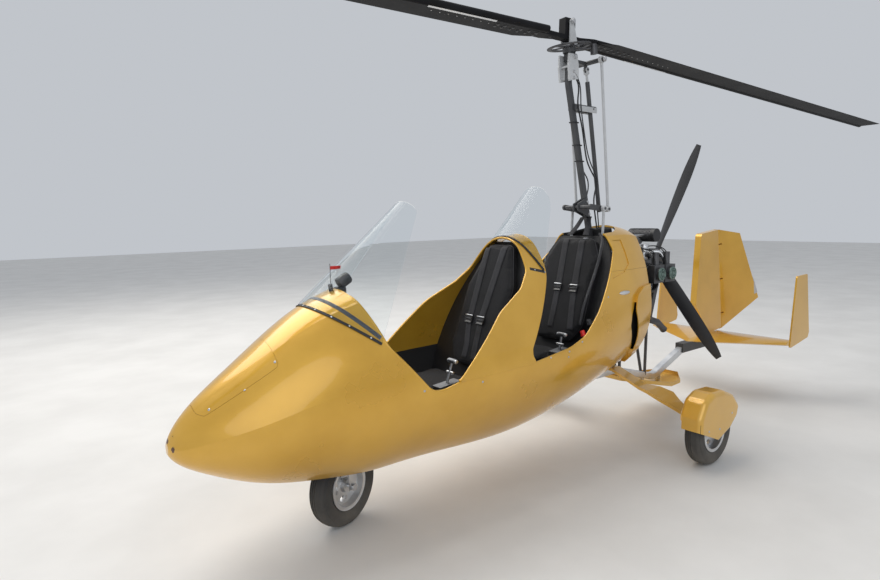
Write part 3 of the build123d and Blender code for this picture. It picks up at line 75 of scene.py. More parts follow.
def add_node(tree, kind, **values):
    """A node of a kind with its properties or input values set."""
    node = tree.nodes.new(kind)
    for key, value in values.items():
        if key in node.inputs:
            node.inputs[key].default_value = value
        else:
            setattr(node, key, value)
    return node


def feed(tree, value, socket):
    """A socket fed by another socket or by a plain number."""
    if isinstance(value, (int, float)):
        socket.default_value = value
    else:
        tree.links.new(value, socket)


def math_node(tree, operation, first, second=None, clamp=False):
    """A Math node fed by sockets or plain numbers; returns its output."""
    node = add_node(tree, "ShaderNodeMath", operation=operation, use_clamp=clamp)
    feed(tree, first, node.inputs[0])
    if second is not None:
        feed(tree, second, node.inputs[1])
    return node.outputs[0]


def own_place(tree, kind="Object"):
    """The shaded point's place, or its normal, in the piece's own frame."""
    return add_node(tree, "ShaderNodeTexCoord").outputs[kind]


def parts_of(tree, output):
    """The x, y and z of a vector output."""
    split = add_node(tree, "ShaderNodeSeparateXYZ")
    tree.links.new(output, split.inputs[0])
    return split.outputs


def texture(tree, kind, where, scale, **values):
    """A texture at a place with its scale; returns its outputs."""
    node = add_node(tree, f"ShaderNodeTex{kind}", **values)
    tree.links.new(where, node.inputs["Vector"])
    feed(tree, scale, node.inputs["Scale"])
    return node.outputs


def make_grain():
    """Fine random grain with a slower mottle under it."""
    tree, given, result = new_group("surface_grain", {"Scale": 400.0, "Mottle": 6.0}, ("Height", "Mottle"))
    fine = texture(tree, "Noise", own_place(tree), given["Scale"], Detail=3.0, Roughness=0.6)
    slow = texture(tree, "Noise", own_place(tree), given["Mottle"], Detail=4.0, Roughness=0.55)
    tree.links.new(fine["Fac"], result["Height"])
    tree.links.new(slow["Fac"], result["Mottle"])
    return tree


def make_dust():
    """Pale dust that gathers low down and thins out upwards, broken up by noise."""
    tree, given, result = new_group("road_dust", {"Top": 0.6, "Amount": 0.4}, ("Mask",))
    where = own_place(tree)
    noise = texture(tree, "Noise", where, 9.0, Detail=6.0, Roughness=0.65)
    share = math_node(tree, "DIVIDE", parts_of(tree, where)["Z"], given["Top"])
    low = math_node(tree, "SUBTRACT", 1.0, share, clamp=True)
    patchy = math_node(tree, "MULTIPLY", low, noise["Fac"])
    tree.links.new(math_node(tree, "MULTIPLY", patchy, given["Amount"], clamp=True), result["Mask"])
    return tree


def make_flakes():
    """The glint of metal flakes in paint, as small cells of different brightness."""
    tree, given, result = new_group("paint_flakes", {"Scale": 900.0}, ("Value",))
    cells = texture(tree, "Voronoi", own_place(tree), given["Scale"])
    split = add_node(tree, "ShaderNodeSeparateColor")
    tree.links.new(cells["Color"], split.inputs[0])
    tree.links.new(split.outputs[0], result["Value"])
    return tree


def make_weave():
    """Two crossed sets of threads."""
    tree, given, result = new_group("cloth_weave", {"Threads": 700.0}, ("Height",))
    waves = [texture(tree, "Wave", own_place(tree), given["Threads"], bands_direction=axis)["Fac"]
             for axis in ("X", "Y", "Z")]
    crossed = math_node(tree, "MULTIPLY", math_node(tree, "ADD", waves[0], waves[2]), waves[1])
    tree.links.new(crossed, result["Height"])
    return tree


def make_brushed():
    """Long fine scratches left by a brush or a lathe, and smears over them."""
    tree, given, result = new_group("brushed_lines", {"Scale": 60.0}, ("Height", "Mask"))
    where = own_place(tree)
    stretch = add_node(tree, "ShaderNodeMapping", Scale=(1.0, 14.0, 14.0))
    tree.links.new(where, stretch.inputs["Vector"])
    lines = texture(tree, "Noise", stretch.outputs["Vector"], given["Scale"], Detail=5.0, Roughness=0.7)
    smear = texture(tree, "Noise", where, 7.0, Detail=5.0, Roughness=0.6)
    tree.links.new(lines["Fac"], result["Height"])
    tree.links.new(smear["Fac"], result["Mask"])
    return tree


GRAIN, DUST, FLAKES, WEAVE, BRUSHED = make_grain(), make_dust(), make_flakes(), make_weave(), make_brushed()
DUST_COLOUR = (0.55, 0.49, 0.40, 1.0)


def new_finish(name, colour, **sockets):
    """A material whose Principled shader has these constant values."""
    made = bpy.data.materials.new(name)
    made.use_nodes = True
    tree = made.node_tree
    shader = tree.nodes["Principled BSDF"]
    shader.inputs["Base Color"].default_value = (*colour, 1.0)
    for key, value in sockets.items():
        shader.inputs[key.replace("_", " ")].default_value = value
    return made, tree, shader


def place_group(tree, group, **values):
    """A shared effect placed in a material with its own values."""
    node = tree.nodes.new("ShaderNodeGroup")
    node.node_tree = group
    for key, value in values.items():
        node.inputs[key].default_value = value
    return node


def spread(tree, mask, low, high, least=0.0, most=1.0):
    """A mask's range between two values stretched to another range."""
    ramp = add_node(tree, "ShaderNodeMapRange",
                    **{"From Min": low, "From Max": high, "To Min": least, "To Max": most})
    tree.links.new(mask, ramp.inputs["Value"])
    return ramp.outputs[0]


def blend_into(tree, into, mask, value):
    """What feeds a shader's input gives way to a value where the mask is one."""
    blend = add_node(tree, "ShaderNodeMix", data_type="RGBA" if into.type == "RGBA" else "FLOAT")
    factor, first, second = [socket for socket in blend.inputs if socket.enabled]
    if into.links:
        tree.links.new(into.links[0].from_socket, first)
    else:
        first.default_value = into.default_value
    second.default_value = value
    tree.links.new(mask, factor)
    tree.links.new([output for output in blend.outputs if output.enabled][0], into)


def tint(tree, shader, mask, first, second):
    """Colour that changes from one tone to another along a mask."""
    shader.inputs["Base Color"].default_value = (*first, 1.0)
    blend_into(tree, shader.inputs["Base Color"], spread(tree, mask, 0.35, 0.65), (*second, 1.0))


def roughen(tree, shader, mask, low, high):
    """Roughness that follows a mask between two values."""
    tree.links.new(spread(tree, mask, 0.3, 0.7, low, high), shader.inputs["Roughness"])


def bump(tree, shader, height, strength, distance):
    """Surface relief from a height."""
    node = add_node(tree, "ShaderNodeBump", Strength=strength, Distance=distance)
    tree.links.new(height, node.inputs["Height"])
    tree.links.new(node.outputs["Normal"], shader.inputs["Normal"])


def dusted(tree, shader, top, amount):
    """Dust mixed over whatever colour the shader already has."""
    group = place_group(tree, DUST, Top=top, Amount=amount)
    blend_into(tree, shader.inputs["Base Color"], group.outputs["Mask"], DUST_COLOUR)


def make_painted(name, first, second, rough=(0.26, 0.36), coat=0.8, metallic=0.35, flake=0.08):
    """Glossy sprayed paint with flakes, a soft orange peel and a little dust low down."""
    made, tree, shader = new_finish(name, first, Metallic=metallic, Coat_Weight=coat, Coat_Roughness=0.06)
    grain = place_group(tree, GRAIN, Scale=140.0, Mottle=3.0)
    glint = place_group(tree, FLAKES, Scale=1100.0)
    mask = math_node(tree, "ADD", math_node(tree, "MULTIPLY", glint.outputs["Value"], flake * 2),
                     math_node(tree, "MULTIPLY", grain.outputs["Mottle"], 1 - flake))
    tint(tree, shader, mask, first, second)
    roughen(tree, shader, grain.outputs["Mottle"], *rough)
    bump(tree, shader, grain.outputs["Height"], 0.05, 0.0006)
    dusted(tree, shader, 0.7, 0.25)
    return made


def blacken_inside(made, middle_z, fore_x):
    """The inward side of a moulded shell left black, from the shell's own place and normal."""
    tree = made.node_tree
    shader = tree.nodes["Principled BSDF"]
    spot, way = parts_of(tree, own_place(tree)), parts_of(tree, own_place(tree, "Normal"))
    height = math_node(tree, "SUBTRACT", spot["Z"], middle_z)
    outward = math_node(tree, "ADD", math_node(tree, "MULTIPLY", spot["Y"], way["Y"]),
                        math_node(tree, "MULTIPLY", height, way["Z"]))
    mask = math_node(tree, "MULTIPLY", math_node(tree, "LESS_THAN", outward, -0.05),
                     math_node(tree, "LESS_THAN", spot["X"], fore_x))
    for name, value in (("Base Color", (0.018, 0.018, 0.019, 1.0)), ("Roughness", 0.7), ("Metallic", 0.0),
                        ("Coat Weight", 0.0)):
        blend_into(tree, shader.inputs[name], mask, value)
    return made


def scuffed(made, spots, radius):
    """Brown scuffs down to the filler, round places with ragged edges, on a painted skin."""
    tree = made.node_tree
    where = own_place(tree)
    ragged = texture(tree, "Noise", where, 120.0, Detail=4.0)
    reach = math_node(tree, "MULTIPLY", ragged["Fac"], radius * 2)
    mask = 0.0
    for spot in spots:
        away = add_node(tree, "ShaderNodeVectorMath", operation="DISTANCE")
        tree.links.new(where, away.inputs[0])
        away.inputs[1].default_value = spot
        mask = math_node(tree, "MAXIMUM", math_node(tree, "LESS_THAN", away.outputs["Value"], reach), mask)
    blend_into(tree, tree.nodes["Principled BSDF"].inputs["Base Color"], mask, (0.10, 0.035, 0.012, 1.0))
    return made


def make_plain(name, first, second, rough=(0.45, 0.6), grain_scale=500.0, relief=0.15, dust=(0.6, 0.2),
               **sockets):
    """A grained finish such as moulded plastic, powder coat or rubber."""
    made, tree, shader = new_finish(name, first, **sockets)
    grain = place_group(tree, GRAIN, Scale=grain_scale, Mottle=7.0)
    tint(tree, shader, grain.outputs["Mottle"], first, second)
    roughen(tree, shader, grain.outputs["Mottle"], *rough)
    bump(tree, shader, grain.outputs["Height"], relief, 0.0006)
    dusted(tree, shader, *dust)
    return made


def make_metal(name, first, second, rough=(0.28, 0.48), scale=60.0, relief=0.12):
    """Bare metal with brushed lines and smears."""
    made, tree, shader = new_finish(name, first, Metallic=1.0)
    lines = place_group(tree, BRUSHED, Scale=scale)
    tint(tree, shader, lines.outputs["Mask"], first, second)
    roughen(tree, shader, lines.outputs["Mask"], *rough)
    bump(tree, shader, lines.outputs["Height"], relief, 0.0004)
    dusted(tree, shader, 0.5, 0.2)
    return made


def blacken_middle(made, half_width):
    """What stands near the middle plane in black paint instead of bare metal."""
    tree = made.node_tree
    shader = tree.nodes["Principled BSDF"]
    across = math_node(tree, "ABSOLUTE", parts_of(tree, own_place(tree))["Y"])
    mask = math_node(tree, "LESS_THAN", across, half_width)
    blend_into(tree, shader.inputs["Base Color"], mask, (0.016, 0.016, 0.017, 1.0))
    blend_into(tree, shader.inputs["Metallic"], mask, 0.0)
    return made


def make_cover(name, first, second):
    """Woven cover cloth with a soft sheen."""
    made, tree, shader = new_finish(name, first, Sheen_Weight=0.04, Sheen_Roughness=0.5,
                                    Specular_IOR_Level=0.2)
    threads = place_group(tree, WEAVE, Threads=260.0)
    grain = place_group(tree, GRAIN, Scale=300.0, Mottle=9.0)
    tint(tree, shader, grain.outputs["Mottle"], first, second)
    roughen(tree, shader, grain.outputs["Mottle"], 0.55, 0.75)
    bump(tree, shader, threads.outputs["Height"], 0.35, 0.0008)
    return made


def make_glass(name):
    """Clear bent plastic sheet with faint smears."""
    made, tree, shader = new_finish(name, (0.93, 0.96, 0.97), Transmission_Weight=1.0, IOR=1.10, Metallic=0.0)
    grain = place_group(tree, GRAIN, Scale=60.0, Mottle=5.0)
    roughen(tree, shader, grain.outputs["Mottle"], 0.0, 0.05)
    return made


YELLOW_TONES = (0.66, 0.355, 0.026), (0.75, 0.420, 0.042)
SCUFF_PLACES = (2.467, 0.048, 0.604), (2.477, 0.001, 0.630), (2.470, 0.030, 0.655)
YELLOW = make_painted("golden_yellow_paint", *YELLOW_TONES, flake=0.03)
MOULDING = make_painted("golden_yellow_moulding", *YELLOW_TONES, flake=0.03)
YELLOW_SHELL = scuffed(blacken_inside(MOULDING, 0.80, 2.1), SCUFF_PLACES, 0.011)
BLACK_GLOSS = make_painted("black_blade_paint", (0.010, 0.010, 0.012), (0.018, 0.018, 0.021), (0.35, 0.5),
                           0.12, 0.0, 0.02)
BLADE_BLACK = make_plain("black_rotor_paint", (0.006, 0.006, 0.007), (0.012, 0.012, 0.014), (0.5, 0.6),
                         500.0, 0.08, Specular_IOR_Level=0.15)
BLACK_SATIN = make_plain("black_satin_paint", (0.018, 0.018, 0.019), (0.035, 0.035, 0.036), (0.35, 0.5))
GREY_COAT = make_plain("light_grey_powder_coat", (0.46, 0.47, 0.48), (0.56, 0.57, 0.58), (0.35, 0.5), 700.0)
DARK_COAT = make_plain("dark_grey_powder_coat", (0.045, 0.046, 0.05), (0.07, 0.072, 0.076), (0.35, 0.5),
                       700.0)
SILVER = make_metal("bare_silver_metal", (0.62, 0.63, 0.65), (0.78, 0.79, 0.80))
STEEL = make_metal("machined_steel", (0.50, 0.50, 0.51), (0.62, 0.62, 0.63))
CAST = make_metal("dark_cast_metal", (0.10, 0.10, 0.105), (0.17, 0.17, 0.175), (0.45, 0.65), 20.0, 0.3)
RUBBER = make_plain("tyre_rubber", (0.016, 0.016, 0.017), (0.035, 0.034, 0.033), (0.6, 0.85), 300.0, 0.3,
                    (0.3, 0.35))
LINER = make_plain("black_moulded_liner", (0.009, 0.009, 0.010), (0.018, 0.018, 0.019), (0.5, 0.7), 350.0,
                   0.35)
COVER = make_cover("black_seat_cover", (0.007, 0.007, 0.008), (0.016, 0.016, 0.018))
CLEAR = make_glass("clear_screen")
PIPING = make_plain("black_piping", (0.016, 0.016, 0.018), (0.03, 0.03, 0.034), (0.4, 0.55), 600.0, 0.2)
WEBBING = make_cover("black_belt_webbing", (0.022, 0.022, 0.024), (0.045, 0.045, 0.05))
SEAL = make_plain("black_rubber_seal", (0.012, 0.012, 0.013), (0.025, 0.025, 0.027), (0.4, 0.6), 500.0, 0.2)
BAND_GREY = make_plain("slate_grey_trim", (0.075, 0.082, 0.098), (0.10, 0.108, 0.125), (0.35, 0.5), 500.0,
                       0.1)
RED_COAT = make_plain("red_knob_plastic", (0.60, 0.015, 0.012), (0.70, 0.03, 0.02), (0.3, 0.45), 400.0, 0.1)
COVER_GREEN = make_metal("green_tinted_covers", (0.13, 0.19, 0.17), (0.22, 0.29, 0.26), (0.35, 0.5))
BUCKLE = make_plain("black_buckle_coat", (0.02, 0.02, 0.021), (0.04, 0.04, 0.042), (0.25, 0.4), 500.0, 0.1)
LEVER_METAL = blacken_middle(
    make_metal("lever_metal", (0.20, 0.205, 0.215), (0.30, 0.305, 0.315), (0.4, 0.55)), 0.15)

FINISHES = (
    (YELLOW_SHELL, "hull engine_cowl"),
    (YELLOW, "seat_fairing tailplane fin rudder belly_tray wheel_fairings gear_bow nose_hatch"),
    (LINER, "cockpit_floor instrument_panel front_seat_shell rear_seat_shell"),
    (COVER, "front_seat_back front_seat_cushion rear_seat_back rear_seat_cushion"),
    (CLEAR, "front_windshield rear_windshield"),
    (DARK_COAT, "mast engine_frame idler_levers trim_cylinder rotor_head"),
    (LEVER_METAL, "cockpit_levers"),
    (BLACK_SATIN, "tail_bracket"),
    (SILVER, "keel nose_fork nose_rim main_left_rim main_right_rim"),
    (STEEL, "main_axles steering_head"),
    (RUBBER, "nose_tyre main_left_tyre main_right_tyre"),
    (GREY_COAT, "mast_head rotor_tower push_rods lower_rods trim_rod"),
    (CAST, "engine exhaust prerotator ring_gear"),
    (BLACK_GLOSS, "propeller"),
    (BLADE_BLACK, "hub_bar rotor_blade_front rotor_blade_rear"),
)
for finish, names in FINISHES:
    for name in names.split():
        mesh = NODES[name].data
        mesh.materials.clear()
        mesh.materials.append(finish)

# Ways of making pieces

def clear_selection():
    """Nothing selected, and Blender out of edit mode."""
    if bpy.context.object and bpy.context.object.mode != "OBJECT":
        bpy.ops.object.mode_set(mode="OBJECT")
    bpy.ops.object.select_all(action="DESELECT")


def take(piece):
    """Only this piece selected, and active."""
    clear_selection()
    piece.select_set(True)
    bpy.context.view_layer.objects.active = piece


def settle():
    """The chosen pieces' places, turns and sizes taken into their meshes."""
    bpy.ops.object.transform_apply(location=True, rotation=True, scale=True)


def edit_mesh(open_it):
    """Edit mode opened or closed."""
    bpy.ops.object.mode_set(mode="EDIT" if open_it else "OBJECT")


def apply_modifier(piece, kind, **values):
    """A modifier added to a piece and applied."""
    take(piece)
    made = piece.modifiers.new(kind.lower(), kind)
    for key, value in values.items():
        setattr(made, key, value)
    bpy.ops.object.modifier_apply(modifier=made.name)


def finish_piece(piece, name, finish, body="fuselage", smooth=35):
    """A shaped piece, or a list of parts made one, gets its name, finish and body."""
    if isinstance(piece, list):
        piece = join_pieces(piece)
    take(piece)
    settle()
    piece.name = piece.data.name = name
    piece.data.materials.clear()
    piece.data.materials.append(finish)
    bpy.ops.object.shade_smooth_by_angle(angle=math.radians(smooth))
    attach(piece, body)
    return piece


def facing(direction, roll=(0, 0, 1)):
    """The turn that points a piece's z along a direction."""
    along = Vector(direction).normalized()
    across = Vector(roll).cross(along)
    if across.length < 1e-4:
        across = Vector((1, 0, 0)).cross(along)
    across.normalize()
    return Matrix((across, along.cross(across), along)).transposed().to_4x4()


def place(piece, spot, direction=(0, 0, 1), roll=(0, 0, 1)):
    """A piece set on a spot with its z along a direction."""
    piece.matrix_world = Matrix.Translation(spot) @ facing(direction, roll)
    return piece


def copies(model, spots):
    """Copies of a model, each with its own mesh, at (spot, direction) pairs; the model goes."""
    made = []
    for spot, direction in spots:
        twin = model.copy()
        twin.data = model.data.copy()
        scene.collection.objects.link(twin)
        place(twin, spot, direction)
        made.append(twin)
    bpy.data.objects.remove(model)
    return made


def join_pieces(parts):
    """Several parts made one piece."""
    take(parts[0])
    for part in parts[1:]:
        part.select_set(True)
    bpy.context.view_layer.objects.active = parts[0]
    settle()
    bpy.ops.object.join()
    return bpy.context.object


def work_faces(piece, test, tool, **values):
    """A mesh tool used on the faces that pass a test."""
    take(piece)
    edit_mesh(True)
    bpy.context.tool_settings.mesh_select_mode = (False, False, True)
    bpy.ops.mesh.select_all(action="DESELECT")
    edit_mesh(False)
    for face in piece.data.polygons:
        face.select = test(face)
    edit_mesh(True)
    tool(**values)
    edit_mesh(False)


def add_block(low, high, edge=0.002, segments=2):
    """A block between two corners with its edges rounded."""
    clear_selection()
    middle = [(a + b) / 2 for a, b in zip(low, high)]
    bpy.ops.mesh.primitive_cube_add(size=1, location=middle)
    block = bpy.context.object
    block.scale = [abs(b - a) for a, b in zip(low, high)]
    settle()
    apply_modifier(block, "BEVEL", width=edge, segments=segments, limit_method="ANGLE")
    return block


def add_round(radius, depth, edge=0.001, sides=32):
    """A round solid from z = 0 up to its depth with its rims rounded."""
    clear_selection()
    bpy.ops.mesh.primitive_cylinder_add(vertices=sides, radius=radius, depth=depth,
                                        location=(0, 0, depth / 2))
    piece = bpy.context.object
    settle()
    if edge:
        apply_modifier(piece, "BEVEL", width=edge, segments=2, limit_method="ANGLE",
                       angle_limit=math.radians(40))
    return piece


def add_bolt(size, height):
    """A hexagon bolt head that stands on its washer, size across its corners halved."""
    clear_selection()
    bpy.ops.mesh.primitive_cylinder_add(vertices=6, radius=size, depth=height, location=(0, 0, height / 2))
    head = bpy.context.object
    settle()
    apply_modifier(head, "BEVEL", width=size * 0.12, segments=1, limit_method="ANGLE")
    ring = add_round(size * 1.35, size * 0.25, size * 0.06, 20)
    return join_pieces([head, ring])


def add_screw(radius):
    """A low round screw head with a cross recess."""
    clear_selection()
    bpy.ops.mesh.primitive_uv_sphere_add(segments=16, ring_count=8, radius=radius)
    head = bpy.context.object
    take(head)
    edit_mesh(True)
    bpy.ops.mesh.select_all(action="SELECT")
    bpy.ops.mesh.bisect(plane_co=(0, 0, 0), plane_no=(0, 0, 1), clear_inner=True, use_fill=True)
    edit_mesh(False)
    head.scale = (1, 1, 0.45)
    settle()
    work_faces(head, lambda face: face.center.z > radius * 0.4, bpy.ops.mesh.inset,
               thickness=radius * 0.12, depth=-radius * 0.2)
    return head


def add_tube(points, radius, smooth=True, closed=False, sides=4):
    """A round tube along points."""
    clear_selection()
    curve = bpy.data.curves.new("tube", "CURVE")
    curve.dimensions = "3D"
    curve.resolution_u = 8
    line = curve.splines.new("NURBS" if smooth else "POLY")
    line.points.add(len(points) - 1)
    for spot, point in zip(line.points, points):
        spot.co = (*point, 1.0)
    if smooth:
        line.order_u = 3
        line.use_endpoint_u = not closed
    line.use_cyclic_u = closed
    curve.bevel_depth = radius
    curve.bevel_resolution = sides
    curve.use_fill_caps = True
    tube = bpy.data.objects.new("tube", curve)
    scene.collection.objects.link(tube)
    take(tube)
    bpy.ops.object.convert(target="MESH")
    return bpy.context.object


def add_strip(rows, thickness, edge=0.0004):
    """A flat band through rows of two or more points; it gets a thickness and soft edges."""
    clear_selection()
    across, along = len(rows[0]), len(rows)
    bpy.ops.mesh.primitive_grid_add(x_subdivisions=across - 1, y_subdivisions=along - 1, size=1)
    strip = bpy.context.object
    for index, vertex in enumerate(strip.data.vertices):
        vertex.co = rows[index // across][index % across]
    strip.data.update()
    apply_modifier(strip, "SOLIDIFY", thickness=thickness, offset=1.0)
    if edge:
        apply_modifier(strip, "BEVEL", width=edge, segments=1, limit_method="ANGLE",
                       angle_limit=math.radians(50))
    return strip


def add_ring_solid(profile, steps=72):
    """A solid of revolution about z from a closed outline of radius and height."""
    clear_selection()
    bpy.ops.mesh.primitive_circle_add(vertices=len(profile), radius=1)
    ring = bpy.context.object
    for vertex, (radius, height) in zip(ring.data.vertices, profile):
        vertex.co = (radius, 0, height)
    take(ring)
    edit_mesh(True)
    bpy.ops.mesh.select_all(action="SELECT")
    bpy.ops.mesh.spin(steps=steps, angle=2 * math.pi, center=(0, 0, 0), axis=(0, 0, 1), use_auto_merge=True)
    bpy.ops.mesh.select_all(action="SELECT")
    bpy.ops.mesh.remove_doubles(threshold=0.00001)
    bpy.ops.mesh.normals_make_consistent(inside=False)
    edit_mesh(False)
    return ring


def surface_of(*names):
    """The surfaces of nodes or pieces, ready to be looked up along a line."""
    trees = []
    for name in names:
        piece = NODES.get(name) or bpy.data.objects[name]
        trees.append(BVHTree.FromPolygons([v.co.copy() for v in piece.data.vertices],
                                          [tuple(p.vertices) for p in piece.data.polygons]))
    return trees


def meet(trees, start, direction, reach=10.0, needed=True):
    """The nearest point and normal where a line from a start meets any of the surfaces."""
    best = None
    for tree in trees:
        spot, normal, _, distance = tree.ray_cast(Vector(start), Vector(direction).normalized(), reach)
        if spot is not None and (best is None or distance < best[2]):
            best = (spot, normal, distance)
    if best is None and not needed:
        return None, None
    if best is None:
        raise ValueError(f"nothing is met from {tuple(start)}")
    spot, normal, _ = best
    return spot, (normal if normal.dot(Vector(direction)) < 0 else -normal)


def from_side(trees, x, z, side, away=0.6, needed=True):
    """Where the outside of a surface is met from one side, and its normal."""
    return meet(trees, (x, side * away, z), (0, -side, 0), needed=needed)


def raised(spots, height):
    """Spots with their normals, moved out along them."""
    return [(spot + normal * height, normal) for spot, normal in spots]


def bolt_set(name, size, height, spots, body="fuselage", finish=STEEL):
    """One piece of like bolts at (spot, direction) pairs."""
    finish_piece(copies(add_bolt(size, height), spots), name, finish, body)


# Seats: pads that swell in their covers, piping round their faces, belts and buckles

ACROSS, UPRIGHT = Vector((0, 1, 0)), Vector((0, 0, 1))
SIDES = ((1, "port"), (-1, "starboard"))
LEAST_DEPTH = 0.0008
PIPING_RADIUS, PIPING_POINTS, OFF_PAD = 0.0035, 96, 0.2
BELT_SHEET, BELT_LIFT, OFF_SEAT = 0.0016, 0.0012, 0.4


def seat_frame(foot, head):
    """Foot of a back or cushion, its way along, its way out of a back's face, and its length."""
    along = Vector((head[0] - foot[0], 0, head[1] - foot[1]))
    out = Vector((along.z, 0, -along.x)).normalized()
    return Vector((foot[0], 0, foot[1])), along.normalized(), out, along.length


def blow_up(pad, reach):
    """A pad's cover pushed out by air inside it, no farther than its reach."""
    start = [vertex.co.copy() for vertex in pad.data.vertices]
    cloth = pad.modifiers.new("cloth", "CLOTH")
    cloth.settings.quality = 4
    cloth.settings.use_pressure = True
    cloth.settings.uniform_pressure_force = 4.0
    cloth.settings.effector_weights.gravity = 0.0
    for step in range(1, 21):
        scene.frame_set(step)
    take(pad)
    bpy.ops.object.modifier_apply(modifier="cloth")
    scene.frame_set(1)
    for vertex, was in zip(pad.data.vertices, start):
        moved = vertex.co - was
        if moved.length > reach:
            vertex.co = was + moved * (reach / moved.length)


def swell(node, name, base, out, inward, reach, voxel):
    """A pad from its plain solid: drawn in a little, blown up inside its cover, flat where it rests."""
    pad = bpy.data.objects.new(name, NODES[node].data.copy())
    scene.collection.objects.link(pad)
    take(pad)
    edit_mesh(True)
    bpy.ops.mesh.select_all(action="SELECT")
    bpy.ops.mesh.remove_doubles(threshold=0.0001)
    bpy.ops.mesh.normals_make_consistent(inside=False)
    edit_mesh(False)
    apply_modifier(pad, "REMESH", mode="VOXEL", voxel_size=voxel)
    apply_modifier(pad, "DISPLACE", strength=-inward, mid_level=0.0)
    blow_up(pad, reach)
    for vertex in pad.data.vertices:
        depth = (vertex.co - base).dot(out)
        if depth < LEAST_DEPTH:
            vertex.co += out * (LEAST_DEPTH - depth)
    apply_modifier(pad, "SMOOTH", factor=0.5, iterations=3)
    apply_modifier(pad, "SUBSURF", levels=1, render_levels=1)
    finish_piece(pad, name, COVER, smooth=60)
    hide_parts(node)
    return pad


def edge_piping(pad, name, middle, along, half_across, half_along):
    """A sewn bead round a pad's face, on the line where a plane through its middle leaves it."""
    trees = surface_of(pad.name)
    points = []
    for index in range(PIPING_POINTS):
        angle = 2 * math.pi * index / PIPING_POINTS
        start = (middle + ACROSS * (half_across + OFF_PAD) * math.cos(angle)
                 + along * (half_along + OFF_PAD) * math.sin(angle))
        aim = middle + along * (half_along * 0.62 * math.sin(angle))
        points.append(meet(trees, start, aim - start)[0])
    finish_piece(add_tube(points, PIPING_RADIUS, closed=True, sides=2), name, PIPING, smooth=60)


def lay_belt(name, trees, frame_of_seat, line, width, steps=34):
    """A belt that lies on a seat along a line of places across and along its back."""
    origin, along, out, _ = frame_of_seat
    heights = [row[1] for row in line]
    rows = []
    for step in range(steps):
        reach = heights[0] + (heights[-1] - heights[0]) * step / (steps - 1)
        for (y0, a0), (y1, a1) in zip(line, line[1:]):
            if min(a0, a1) - 1e-9 <= reach <= max(a0, a1) + 1e-9:
                middle = y0 + (y1 - y0) * (reach - a0) / (a1 - a0)
        row = []
        for share in (-0.5, -0.25, 0, 0.25, 0.5):
            start = origin + along * reach + ACROSS * (middle + width * share)
            spot, _ = meet(trees, start + out * OFF_SEAT, -out, OFF_SEAT, False)
            row.append((spot or start + out * 0.035) + out * BELT_LIFT)
        level = max((point - origin).dot(out) for point in row)
        rows.append([point + out * (level - (point - origin).dot(out)) * 0.7 for point in row])
    finish_piece(add_strip(rows, BELT_SHEET), name, WEBBING, smooth=50)


def add_buckle(width, height, depth):
    """A black buckle: a frame with a crossbar, flat on z = 0."""
    body = add_block((-width / 2, -height / 2, 0), (width / 2, height / 2, depth), depth * 0.3)
    work_faces(body, lambda face: face.normal.z > 0.9, bpy.ops.mesh.inset,
               thickness=height * 0.16, depth=-depth * 0.45)
    bar = add_block((-width * 0.42, -height * 0.07, depth * 0.3),
                    (width * 0.42, height * 0.07, depth * 1.15), depth * 0.12)
    return join_pieces([body, bar])


# Each seat: foot and head of its back and of its cushion as (x, z), half a pad's width, then its belts,
# starboard first, as places across the seat and along its back
SEATS = (
    ("front", ((0.855, 0.579), (0.539, 1.364)), ((0.855, 0.579), (1.440, 0.560)), 0.205,
     (((-0.072, 0.345), (-0.089, 0.785)), ((0.026, 0.345), (0.050, 0.800))),
     (((-0.030, 0.120), (-0.036, 0.199), (-0.070, 0.322)), ((0.050, 0.120), (0.039, 0.188), (0.028, 0.322)))),
    ("rear", ((0.140, 0.640), (-0.140, 1.378)), ((0.140, 0.640), (0.560, 0.610)), 0.228,
     (((-0.035, 0.415), (-0.068, 0.745)), ((0.095, 0.415), (0.064, 0.745))),
     (((-0.020, 0.150), (-0.035, 0.392)), ((0.140, 0.150), (0.098, 0.392)))),
)
for where, back_line, seat_line, half, shoulder_belts, lower_belts in SEATS:
    back_frame = seat_frame(*back_line)
    foot, up, out, length = back_frame
    back = swell(f"{where}_seat_back", f"{where}_back_pad", foot, out, 0.006, 0.014, 0.008)
    edge_piping(back, f"{where}_back_piping", foot + up * length * 0.53 + out * 0.040, up, half,
                length * 0.45)
    seat_foot, fore, below, _ = seat_frame(*seat_line)
    reach = seat_line[1][0] - seat_line[0][0]
    seat = swell(f"{where}_seat_cushion", f"{where}_seat_pad", seat_foot, -below, 0.006, 0.012, 0.007)
    edge_piping(seat, f"{where}_seat_piping", seat_foot + fore * (reach + 0.05) / 2 - below * 0.050,
                fore, half, (reach - 0.15) / 2)
    trees = surface_of(back.name, seat.name)
    for side, line, low_line in zip(("starboard", "port"), shoulder_belts, lower_belts):
        lay_belt(f"{where}_{side}_shoulder_belt", trees, back_frame, line, 0.048)
        lay_belt(f"{where}_{side}_lower_belt", trees, back_frame, low_line, 0.044, steps=20)
        y, height = line[0]
        spot, _ = meet(trees, foot + up * height + ACROSS * y + out * OFF_SEAT, -out)
        spot += out * 0.002
        finish_piece(place(add_buckle(0.062, 0.046, 0.010), spot, out, up), f"{where}_{side}_buckle", BUCKLE,
                     smooth=40)
        bar = add_block((-0.031, 0.018, 0.008), (0.031, 0.024, 0.0125), 0.001)
        finish_piece(place(bar, spot, out, up), f"{where}_{side}_buckle_bar", SILVER)


# The pod: screens on their seals, rolled rims, screws, lamps, vane, compass and ducts

POD_MIDDLE_Z = 0.80
RIM_STEP, SHORTEST_LIP, LIP_RADIUS, SKIN_WALL = 0.014, 0.25, 0.0072, 0.012
SCREEN_LIFT, SCREEN_ROWS, SCREEN_SHEET = 0.0022, 22, 0.003


